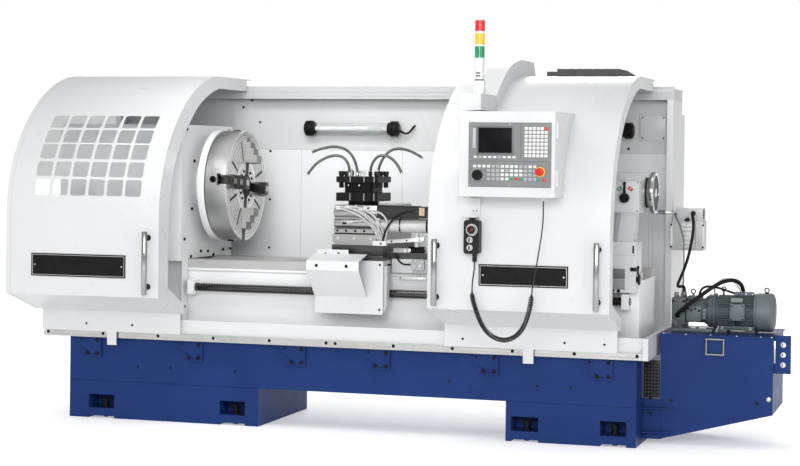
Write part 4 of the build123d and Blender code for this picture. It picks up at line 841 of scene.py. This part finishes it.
for x, y, z, m in ((1607, 8, 1222, 2), (1612, 8, 1212, 2), (1660, 8, 1225, 2), (1668, 8, 1215, 2), (1648, 12, 1134, 1)):
    wires.lathe((x - 26, y, z), "x", [(0, 0), (0, 6), (8, 6.6), (9, 5.6), (26, 5.6), (28, 5), (28, 0)], 12, m)
for x, z in ((1668, 1222), (1700, 1228), (1760, 1222)):
    wires.lathe((x, 12, z), "-y", [(0, 0), (0, 7.5), (10, 7.5), (12, 5), (12, 0)], 16, 2)
wires.box(1742, 1822, -6, 11, 1206, 1232, 2, 1.5)
for x in (1754, 1774, 1808):
    wires.lathe((x, -6, 1218), "-y", [(0, 0), (0, 5), (5, 5), (6, 3.5), (6, 0)], 14, 1 if x == 1774 else 2)
wires.done("cross_slide_wires", "cross_slide", CABLEG, RUBBER, BRIGHT)

# ------------------------------------------------------------------ carriage: guard screws, distributor, cover plates
cp = Piece()
for x, y, z in ((1538, -23.6, 968), (1614, -23.6, 970)):
    cp.lathe((x, y, z), "-y", [(0, 0), (0, 7), (2.4, 6.6), (3.4, 4.6), (3.4, 0)], 18, 1)
for x in (1537, 1706):
    cp.lathe((x, -168, 911), "-y", [(0, 0), (0, 9), (2.6, 8.6), (4, 6), (4, 0)], 18, 1)
cp.box(1873, 2071, 118, 126.5, 866, 942, 0, 1.5)
cp.box(1912, 2072, 112, 126.5, 830, 848, 0, 1.5)
cp.box(1940, 2052, 110.5, 112.5, 836, 839.5, 3, 0.4)
cp.lathe((1924, 112, 839), "-y", [(0, 0), (0, 4.5), (2, 4.5), (2.6, 3.6), (2.6, 0)], 14, 1)
cp.box(1986, 2062, 98, 118.5, 884, 945, 2, 3.0)
for i in range(4):
    cp.lathe((1997 + 18 * i, 97.9, 934), "-y", [(0, 0), (0, 5.4), (7, 5.4), (8, 4), (8, 0)], 14, 3)
    cp.lathe((1997 + 18 * i, 108, 884), "-z", [(0, 0), (0, 4.6), (9, 4.6), (9, 2.4), (26, 2.2), (26, 0)], 12, 3)
cp.lathe((2006, 97.9, 908), "-y", [(0, 0), (0, 14), (4, 14), (5.4, 12.4), (5.4, 0)], 28, 2)
cp.lathe((2042, 97.9, 908), "-y", [(0, 0), (0, 9), (6, 9), (7, 7.6), (7, 0)], 6, 3)
cp.tube(even(along([W(*p) for p in [(1990, 106, 915), (1968, 104, 913), (1944, 102, 914), (1924, 102, 926), (1908, 104, 946), (1896, 108, 966)]], 8), 0.005), 4.6, 1, 10)
cp.box(1880, 1960, 116, 128, 976.2, 1001, 2, 2.0)
for x, z, r in ((1944, 989, 9), (1970, 990, 11)):
    cp.lathe((x, 116, z), "-y", [(0, 0), (0, r), (3, r), (4, r - 2), (4, r - 5), (2, r - 6), (2, 0)], 24, 3)
cp.box(1966, 2058, 122, 126.4, 976, 1012, 1, 1.0)
cp.prism([(1866.2, 905), (1878, 905), (1878, 700), (1866.2, 660)], "y", 10, 60, 0)
for x, z in ((1502, 915), (1848, 915), (1848, 672)):
    cp.lathe((x, -20, z), "-y", [(0, 0), (0, 6.2), (2, 6), (3, 4), (3, 0)], 16, 1)
cp.done("carriage_parts", "carriage", WHITE, BLACK, GREY, BRIGHT)

# ------------------------------------------------------------------ back wall: seam and fold lines in darker white as painted shade, screws
bw = Piece()
# darker white strips on the panel seams and on the joint at z 1534: painted shade between the panels
for a in (1036, 1670, 2498):
    bw.box(a - 0.5, a + 4.5, 957.6, 959.4, 470, 1534, 0)
bw.box(-100, 3254, 957.6, 959.4, 1531.5, 1536.5, 0)
for x, z in ((661, 1787), (716, 1830), (770, 1697), (839, 1523), (839, 1231), (837, 940), (2230, 1790), (3020, 1560), (3020, 1240)):
    bw.lathe((x, 956.2, z), "-y", [(0, 0), (0, 7.6), (2.2, 7.2), (3.6, 4.8), (3.6, 0)], 18, 1)
bw.box(587, 619, 952.5, 956.4, 1667, 1834, 2, 0.8)
# fold line in the same darker white: painted shade along the fold
for (x1, z1), (x2, z2) in (((1746, 1834), (1841, 1588)), ((1841, 1588), (1862, 1537))):
    bw.prism([(x1 - 1.6, z1), (x1 + 1.6, z1), (x2 + 1.6, z2), (x2 - 1.6, z2)], "y", 954.6, 956.3, 0)
for x in (1750, 1795):
    bw.lathe((x, 956.2, 1600), "-y", [(0, 0), (0, 3), (1, 2.8), (1, 0)], 12, 0)
bw.box(3087, 3233, 946.6, 948.4, 1609, 1751, 2, 0.6)
for x in (3100, 3220):
    for z in (1622, 1738):
        bw.lathe((x, 946.8, z), "-y", [(0, 0), (0, 5), (2, 4.6), (2.6, 3), (2.6, 0)], 14, 1)
for x in (3143, 3166):
    bw.box(x - 1.4, x + 1.4, 951.6, 953.4, 700 if x < 3150 else 660, 1428, 0, 0.3, 1)
bw.box(2960, 3142, 951.6, 953.4, 1425, 1428, 0, 0.3, 1)
bw.box(3070, 3142, 951.6, 953.4, 700, 703, 0, 0.3, 1)
bw.box(3070, 3166, 951.6, 953.4, 660, 663, 0, 0.3, 1)
bw.box(2960, 3232, 954.8, 956.4, 1448, 1451, 0, 0.3, 1)
bw.done("wall_lines", "machine_frame", WHITE_PAINTED_SHADE, BLACK, WHITE)

# ------------------------------------------------------------------ tailstock: marks, hub rings, clamp knob; handwheel
ta = Piece()
for sgn, m in ((-1, 0), (1, 1)):
    for i in range(4):
        a = sgn * (22 + 6.4 * i)
        r = 57.0
        x, z = 3137 + r * math.sin(math.radians(a)), 1296 + r * math.cos(math.radians(a))
        ta.box(x - 3.4, x + 3.4, 199.2, 200.2, z - 9, z + 9, m, 0.0, 1, ("Y", a))
    a = sgn * 31.6
    x, z = 3137 + 57 * math.sin(math.radians(a)), 1296 + 57 * math.cos(math.radians(a))
    ta.box(x - 5, x + 5, 198.9, 199.4, z - 3.4, z + 3.4, 2, 0.0, 1, ("Y", a))
ta.ring((3216, AX_Y, AX_Z), "x", 5, 79, 86, 5, 64, 1.2)
ta.ring((3222, AX_Y, AX_Z), "x", 12, 79, 82.4, 4, 64, 1.0)
ta.lathe((3224.8, 88, 872), "x", [(0, 0), (0, 16), (3, 16), (4, 12), (8, 12), (9, 27), (17, 29), (19, 25), (19, 0)], 32, 4)
ta.lathe((3232, 84, 900), (0.1, -0.35, 0.9), [(0, 0), (0, 5), (30, 4.5), (34, 6.5), (44, 6.5), (47, 3), (47, 0)], 16, 4)
ta.box(3196, 3232, 52, 60.4, 916, 936, 4, 3.0)
ta.box(2904, 3168, 58.4, 60.2, 874, 928, 6, 0.6)
ta.box(2904, 3168, 58.8, 60.2, 818, 872, 7, 0.6)
for x, z in ((3109, 812), (3135, 811)):
    ta.lathe((x, 60.2, z), "-y", [(0, 0), (0, 6 if x < 3120 else 9), (4, 6 if x < 3120 else 9), (5, 4), (5, 0)], 20, 4)
ta.box(3206, 3215, 57.8, 60.4, 1010, 1050, 4, 0.8)
# two thin strips in the darker white: painted shade lines along the edges
ta.box(2902, 3223, 58.6, 60.4, 996, 1001, 3, 0.5)
ta.box(3073, 3212, 198.4, 200.2, 1219, 1222, 3, 0.5)
for x in (3079, 3206):
    for z in (1227, 1377):
        ta.lathe((x, 200.2, z), "-y", [(0, 0), (0, 3.8), (1.6, 3.4), (1.6, 0)], 14, 4)
ta.done("tailstock_parts", "tailstock", GREEN, RED, WHITE, WHITE_PAINTED_SHADE, BLACKP, BRIGHT, LINE, PANEL)
hwp = Piece()
hwp.lathe((3040, AX_Y, AX_Z), "x", [(0, 0), (0, 14), (197, 14), (197, 24), (199, 27), (228, 27), (232, 23), (232, 0)], 40, 0)
for k in range(3):
    a = math.radians(30 + 120 * k)
    d = Vector((0.0, -math.sin(a), math.cos(a)))
    p0 = Vector(W(3262, AX_Y, AX_Z))
    hwp.tube([p0 + d * 0.022, p0 + d * 0.098], 7.0, 0, 16)
rim = [(3247, 97), (3249, 93.6), (3260, 93), (3271, 93.6), (3273, 97), (3273, 109), (3270, 112.6), (3260, 113), (3250, 112.6), (3247, 109)]
rows = []
for x, r in rim:
    rows.append([hwp.bm.verts.new(W(x, AX_Y + r * math.cos(2 * math.pi * j / 64), AX_Z + r * math.sin(2 * math.pi * j / 64))) for j in range(64)])
for i in range(len(rim)):
    r1, r2 = rows[i], rows[(i + 1) % len(rim)]
    for j in range(64):
        hwp.bm.faces.new((r1[j], r1[(j + 1) % 64], r2[(j + 1) % 64], r2[j])).material_index = 0
hwp.ring((3263, AX_Y, AX_Z), "x", 6, 26, 95, 1, 64, 0.3)
hwp.lathe((3262, AX_Y, AX_Z - 104), "x", [(0, 0), (0, 8), (28, 8), (28, 9.5), (31, 11), (70, 11), (90, 10), (97, 7), (100, 2.5), (100, 0)], 24, 0)
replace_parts(hwp.done("hand_wheel", "handwheel", CHROME, BLACKP), "handwheel")

# ------------------------------------------------------------------ lubrication unit
SILV = paint("silver_grey_enamel", (0.43, 0.435, 0.44), (0.49, 0.495, 0.50), (0.28, 0.38), peel_s=0.015, spec=0.4)
lu = Piece()
lu.box(3296, 3474, 805, 925, 996, 1158, 0, 5.0)
lu.box(3316, 3468, 811, 919, 1161, 1232, 0, 5.0)
lu.box(3302, 3316.5, 818, 912, 1161, 1214, 1, 2.0)
lu.box(3299, 3471, 808, 922, 1156, 1163, 1, 1.2)
lu.box(3290, 3296.5, 855, 915, 1010, 1150, 1, 1.0)
lu.box(3327, 3329, 808.8, 811.4, 1164, 1229, 1, 0.5)
lu.box(3434, 3436, 808.8, 811.4, 1164, 1229, 1, 0.5)
for x in (3322, 3338, 3432, 3448):
    lu.box(x - 2, x + 2, 802.6, 805.4, 1002, 1152, 1, 0.6)
lu.box(3352, 3420, 803.2, 805.4, 1012, 1146, 2, 1.0)
for i in range(5):
    lu.box(3360, 3412 - 9 * (i % 3), 802.5, 803.4, 1022 + 25 * i, 1034 + 25 * i, 1, 0.3)
for x in (3292.5, 3469.5):
    lu.box(x - 4, x + 8, 801, 806, 1015, 1140, 2, 1.5)
    for z in (1016, 1138):
        lu.lathe((x + 2, 801.5, z), "-y", [(0, 0), (0, 5.6), (5, 5.6), (6, 4), (6, 0)], 16, 3)
lu.box(3470, 3474, 820, 832, 1172, 1222, 3, 1.0)
lu.lathe((3415, 811, 1204), "-y", [(0, 0), (0, 14), (4, 14), (5, 13), (22, 12), (22, 0)], 24, 3)
lu.lathe((3384, 811, 1168), "-y", [(0, 0), (0, 12), (6, 12), (7, 8), (13, 8), (14, 11), (19, 11), (19, 0)], 20, 3)
lu.box(3366, 3384, 794, 800, 1164, 1172, 3, 2.0)
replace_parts(lu.done("lube_box", "machine_frame", SILV, GREY, WHITEP, BLACKP), "lube_unit")
lt = Piece()
lt.tube(even(along([W(*p) for p in [(3318, 792, 1196), (3322, 778, 1186), (3338, 764, 1160), (3355, 758, 1123), (3366, 756, 1078), (3372, 752, 1028), (3376, 744, 960), (3377, 728, 890), (3382, 690, 820), (3388, 620, 780), (3392, 540, 762), (3393, 500, 756)]], 8), 0.01), 3.8, 0, 10)
lt.lathe((3318, 806, 1196), "-y", [(0, 0), (0, 7), (12, 7), (13, 5), (16, 5), (16, 0)], 14, 1)
lt.done("lube_pipe", "machine_frame", LINE, BLACKP)

# ------------------------------------------------------------------ pump and its motor
PY, PZ = 450.0, 694.0
mo = Piece()
mo.lathe((3586, PY, PZ), "x", [(0, 0), (0, 94), (2, 96), (13, 96), (16, 92), (16, 80), (222, 80), (222, 0)], 64, 0)
for i in range(36):
    th = 360.0 * i / 36
    if 66 < th < 114:
        continue
    y, z = PY - 82 * math.sin(math.radians(th)), PZ + 82 * math.cos(math.radians(th))
    mo.box(3612, 3802, y - 1.7, y + 1.7, z - 6, z + 6, 0, 0.9, 1, ("X", th))
for i in range(7):
    z = 656 + 12.6 * i
    for x1, x2 in ((3612, 3676), (3764, 3802)):
        mo.box(x1, x2, 362, 376, z - 1.7, z + 1.7, 0, 0.9, 1)
mo.lathe((3802, PY, PZ), "x", [(0, 0), (0, 97), (2, 100), (10, 100), (11, 98), (14, 98), (16, 103), (84, 103), (94, 100), (101, 92), (105, 78), (106, 60), (106, 0)], 64, 1)
for r in (24, 42, 60, 76):
    mo.ring((3907.2, PY, PZ), "x", 0.8, r - 3, r + 3, 3, 48, 0.2)
mo.box(3680, 3760, 330, 376, 652, 742, 1, 5.0)
mo.box(3684, 3756, 326, 331, 656, 738, 1, 2.0)
for x in (3690, 3750):
    for z in (662, 732):
        mo.lathe((x, 326, z), "-y", [(0, 0), (0, 4), (2, 4), (2.6, 3), (2.6, 0)], 14, 3)
mo.lathe((3720, 352, 652), "-z", [(0, 0), (0, 13), (7, 13), (8, 10), (20, 10), (20, 0)], 20, 3)
mo.box(3682, 3744, 374, 378, 747, 771, 2, 0.8, 1, ("X", -28))
mo.box(3622, 3806, 372, 528, 600, 622, 0, 3.0)
mo.box(3614, 3664, 366, 534, 584, 604, 0, 3.0)
mo.box(3760, 3810, 366, 534, 584, 604, 0, 3.0)
for x in (3638, 3786):
    for y in (376, 524):
        mo.hexa((x, y, 604), "z", 9, 10, 4)
        mo.lathe((x, y, 613), "z", [(0, 0), (0, 5), (6, 5), (7, 4), (7, 0)], 14, 4)
mo.prism([(3690, 778), (3800, 778), (3792, 800), (3698, 800)], "y", 424, 476, 0, 2.0)
for x in (3700, 3756, 3790):
    mo.lathe((x, 424.2, 790), "-y", [(0, 0), (0, 4), (2, 4), (2, 0)], 12, 4)
for x, zb, zt in ((3635, 772, 806), (3863, 796, 806)):
    mo.lathe((x, PY, zb), "z", [(0, 0), (0, 10), (6, 10), (7, 5), (zt - zb - 6, 4.5), (zt - zb - 6, 0)], 18, 3)
    mo.ring((x, PY + 4, zt + 6), "-y", 8, 8.5, 14, 3, 28, 1.6)
mo.hexa((3733, 500, 768), "z", 18, 15, 4)
mo.tube(even(along([W(*p) for p in [(3505, 430, 768), (3512, 420, 800), (3532, 412, 822), (3566, 408, 828), (3604, 408, 822), (3640, 412, 812), (3672, 418, 800), (3700, 424, 792)]], 8), 0.006), 6.0, 3, 10)
mo.tube(even(along([W(*p) for p in [(3590, 430, 786), (3586, 424, 812), (3602, 420, 846), (3638, 420, 870), (3676, 424, 866), (3706, 430, 842), (3722, 436, 812), (3728, 440, 800)]], 8), 0.006), 4.4, 5, 10)
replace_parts(mo.done("finned_motor", "machine_frame", GREENM, GREENL, PANEL, BLACKP, STEEL, CABLEG), "pump_motor")
pu = Piece()
pu.box(3372, 3585, 372, 528, 584, 600, 2, 2.0)
pu.box(3366, 3440, 384, 516, 600, 762, 0, 3.0)
pu.box(3366, 3396, 380, 384.5, 606, 640, 0, 1.5)
for x, z in ((3374, 744), (3432, 744), (3374, 614), (3432, 614), (3432, 690)):
    pu.lathe((x, 384.2, z), "-y", [(0, 0), (0, 6.4), (5, 6.4), (6, 5.2), (6, 3.4), (3, 3.2), (3, 0)], 16, 1)
pu.lathe((3440, PY, PZ), "x", [(0, 0), (0, 60), (4, 66), (40, 66), (42, 63), (48, 63), (50, 66), (96, 66), (104, 74), (118, 78), (120, 88), (122, 88.6), (144, 88.6), (146, 87), (146, 0)], 56, 0)
for i in range(8):
    a = 2 * math.pi * (i + 0.5) / 8
    pu.hexa((3553, PY + 79 * math.cos(a), PZ + 79 * math.sin(a)), "x", 9, 8.5, 1)
pu.box(3446, 3524, 378, 400, 640, 720, 3, 2.0)
for i in range(4):
    pu.lathe((3456 + 19 * i, 378.2, 706 - 8 * (i % 2)), "-y", [(0, 0), (0, 6), (4, 6), (5, 4), (5, 0)], 14, 1)
pu.box(3526, 3556, 370, 388, 650, 712, 0, 2.0)
for i in range(3):
    pu.lathe((3541, 370.2, 662 + 19 * i), "-y", [(0, 0), (0, 5), (3, 5), (4, 3), (4, 0)], 14, 4)
pu.box(3448, 3522, 410, 490, 752, 772, 0, 2.0)
for x, y in ((3386, 420), (3420, 480)):
    pu.hexa((x, y, 761), "z", 13, 15, 4)
    pu.lathe((x, y, 774), "z", [(0, 0), (0, 12), (14, 12), (16, 10), (16, 0)], 20, 4)
pu.hexa((3398, 384.5, 672), "-y", 9, 20, 4)
pu.lathe((3398, 376, 672), "-y", [(0, 0), (0, 16), (8, 16), (10, 13), (10, 0)], 20, 1)
pu.lathe((3472, 450, 771), "z", [(0, 0), (0, 7), (10, 7), (12, 4), (12, 0)], 14, 4)
pu.ring((3472, 454, 795), "-y", 8, 8.5, 14, 1, 28, 1.6)
pu.lathe((3410, 400, 598), "z", [(0, 0), (0, 11), (10, 11), (10, 0)], 6, 4)
for x in (3460, 3505, 3560):
    pu.lathe((x, 382, 599.6), "z", [(0, 0), (0, 9), (8, 9), (9, 7.6), (9, 0)], 6, 4)
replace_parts(pu.done("pump_block", "machine_frame", GREENM, BLACKP, GREENL, GREENL, STEELD), "hydraulic_pump")

# ------------------------------------------------------------------ tank and base small parts
tk = Piece()
tk.box(3250, 3336, 205, 209, 244, 440, 0, 1.0)
for i in range(5):
    for j in range(11):
        tk.lathe((3260 + 16.5 * i, 205.2, 254 + 17.6 * j), "-y", [(0, 0), (0, 4.6), (0.8, 4.6), (0.8, 3.2), (0.2, 3.0), (0.2, 0)], 12, 1)
tk.box(3925, 3935, 215, 232, 450, 566, 2, 1.0)
tk.lathe((3397, 199.8, 235), "-y", [(0, 0), (0, 9), (2, 9), (3, 7), (3, 0)], 18, 0)
tk.lathe((3843, 199.8, 240), "-y", [(0, 0), (0, 9), (2, 9), (3, 7), (3, 0)], 18, 0)
tk.lathe((3905, 199.8, 262), "-y", [(0, 0), (0, 13), (7, 13), (8, 10), (15, 10), (16, 8), (16, 0)], 6, 2)
for x in (3352, 3470, 3600, 3735, 3860, 3915):
    tk.lathe((x, 206, 583.8), "z", [(0, 0), (0, 6.5), (2.6, 6), (3.6, 4), (3.6, 0)], 16, 2)
for z in (120, 200):
    tk.lathe((3290, 191.8, z + 40), "-y", [(0, 0), (0, 9), (5, 9), (6, 7.6), (6, 0)], 6, 3)
for z in (442, 494, 546):
    tk.ring((3974, 226.2, z), "-y", 1.6, 9.2, 14, 2, 28, 0.4)
tk.done("tank_parts", "machine_frame", BLACKP, LINE, STEEL, BLACK)
br = Piece()
for b in (117, 736, 1344, 1828, 2430, 3042):
    br.box(b - 52, b - 26, -17.5, -14, 424, 456, 0, 1.0)
    br.lathe((b - 39, -17.6, 440), "-y", [(0, 0), (0, 6.2), (3, 6.2), (4, 4.8), (4, 0)], 16, 1)
    br.box(b + 64, b + 78, -16.6, -14, 352, 456, 0, 0.8)
for x in (420, 620, 1010, 2240, 2720, 2900):
    br.lathe((x, 0.2, 300), "-y", [(0, 0), (0, 7), (1.4, 7), (1.6, 5), (0.6, 4.6), (0.6, 0)], 18, 1)
br.done("base_parts", "machine_frame", BLUE, BLACK)
sk = Piece()
for x in (136, 418):
    sk.lathe((x, -75, 540), "-y", [(0, 0), (0, 6.4), (2.4, 6), (3.2, 4), (3.2, 0)], 16, 0)
sk.done("left_skirt_screws", "left_door", BLACK)
sk = Piece()
for x in (2330, 2880, 3090):
    sk.lathe((x, -75, 540), "-y", [(0, 0), (0, 6.4), (2.4, 6), (3.2, 4), (3.2, 0)], 16, 0)
sk.done("right_skirt_screws", "right_door", BLACK)

# ------------------------------------------------------------------ last
# ------------------------------------------------------------------ fold line round the left door's outer end: a grey line as painted shade along the fold
fl = Piece()
cutb = bmesh.new()
cutb.from_mesh(nodes["left_door"].data)
cutb.transform(nodes["left_door"].matrix_world)
end_x = min(v.co.x for v in cutb.verts) + 0.026
got = bmesh.ops.bisect_plane(cutb, geom=cutb.verts[:] + cutb.edges[:] + cutb.faces[:], plane_co=(end_x, 0, 0), plane_no=(1, 0, 0))["geom_cut"]
for e in [g for g in got if isinstance(g, bmesh.types.BMEdge)]:
    a, b = e.verts[0].co.copy(), e.verts[1].co.copy()
    if (b - a).length > 0.0004 and abs(a.x - b.x) < 0.00001:
        fl.tube([a, b], 0.9, 0, 6)
cutb.free()
fl.done("left_door_fold_painted_shade", "left_door", GREY)

# ------------------------------------------------------------------ pendant: dial ring, cap and selector faces, hook screws
pm = Piece()
pm.ring((2480, -485.9, 1135), "-y", 0.7, 25.6, 30.0, 0, 48, 0.2)
for z in (1084, 1044):
    pm.ring((2470, -485.9, z), "-y", 0.6, 11.4, 15.4, 0, 36, 0.2)
for x in (2472, 2489):
    pm.lathe((x, -423.8, 1230), "-y", [(0, 0), (0, 3.6), (1.4, 3.4), (2.2, 2.2), (2.2, 0)], 16, 1)
pm.done("pendant_marks", "right_door", WHITEP, BLACK)
pc = Piece()
pc.lathe((2480, -499.9, 1135), "-y", [(0, 0), (0, 12), (1.0, 12), (1.6, 11), (1.6, 0)], 32, 0)
pc.ring((2480, -499.9, 1135), "-y", 0.6, 21.5, 23.8, 1, 48, 0.2)
pc.done("pendant_dial_cap", "pendant_dial", plastic("dull_red", (0.07, 0.008, 0.008), (0.10, 0.012, 0.012), (0.3, 0.4), 900.0, 0.03, spec=0.3), WHITEP)
for k, z in ((1, 1084), (2, 1044)):
    q = Piece().ring((2470, -493.9, z), "-y", 0.7, 4.4, 10.8, 0, 36, 0.2)
    q.done("pendant_selector_%d_face" % k, "pendant_selector_%d" % k, WHITEP)

# ------------------------------------------------------------------ rear frame with cover plates, louvres and quarter-turn latches on its back
# rear frame: darker than the white enamel above z 1835.5, as painted shade on the top beam; white enamel below
FRAME_PAINTED_SHADE = masked("frame_white_painted_shade_top", 3.0, (0.45, 0.457, 0.464), (0.48, 0.487, 0.493), (0.575, 0.584, 0.592), (0.60, 0.608, 0.616), "Z", 1.8355)
rc = Piece()
rc.bm.from_mesh(nodes["rear_frame"].data)
rc.bm.transform(nodes["rear_frame"].matrix_world)
edge = W(0, 1289.9, 0).y
for v in rc.bm.verts:
    if v.co.y > edge:
        v.co.y -= 0.004
for f in rc.bm.faces:
    f.material_index = 0
for a, b in ((-40, 782), (798, 1612), (1628, 2442), (2458, 3270)):
    rc.box(a, b, 1284, 1288.5, 622, 1738, 0, 1.2, 2)
    for x in (a + 22, (a + b) / 2, b - 22):
        for z in (644, 1716):
            rc.lathe((x, 1288.3, z), "y", [(0, 0), (0, 8), (0.8, 7.8), (1.4, 6.0), (1.4, 3.6), (0.6, 3.4), (0.6, 0)], 20, 1)
    for x in (a + 22, b - 22):
        for z in (1000, 1360):
            rc.lathe((x, 1288.3, z), "y", [(0, 0), (0, 8), (0.8, 7.8), (1.4, 6.0), (1.4, 3.6), (0.6, 3.4), (0.6, 0)], 20, 1)
    for z in (820, 1540):
        rc.lathe((b - 60, 1288.3, z), "y", [(0, 0), (0, 17), (0.9, 16.6), (1.5, 15.4), (1.5, 0)], 32, 2)
        rc.box(b - 62, b - 58, 1288.9, 1289.9, z - 12, z + 12, 1, 0.3, 1)
    for k in range(10):
        z = 1420 + 24 * k
        for c in (a + (b - a) * 0.32, a + (b - a) * 0.62):
            # black strip under each louvre blade: painted shade in the slot
            rc.box(c - 70, c + 70, 1288.2, 1288.9, z - 5, z, 1, 0.2, 1)
            rc.box(c - 74, c + 74, 1288.2, 1289.9, z, z + 7, 0, 0.6, 2)
rco = rc.done("rear_frame_covered", "machine_frame", FRAME_PAINTED_SHADE, BLACK, BRIGHT)
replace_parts(rco, "rear_frame")
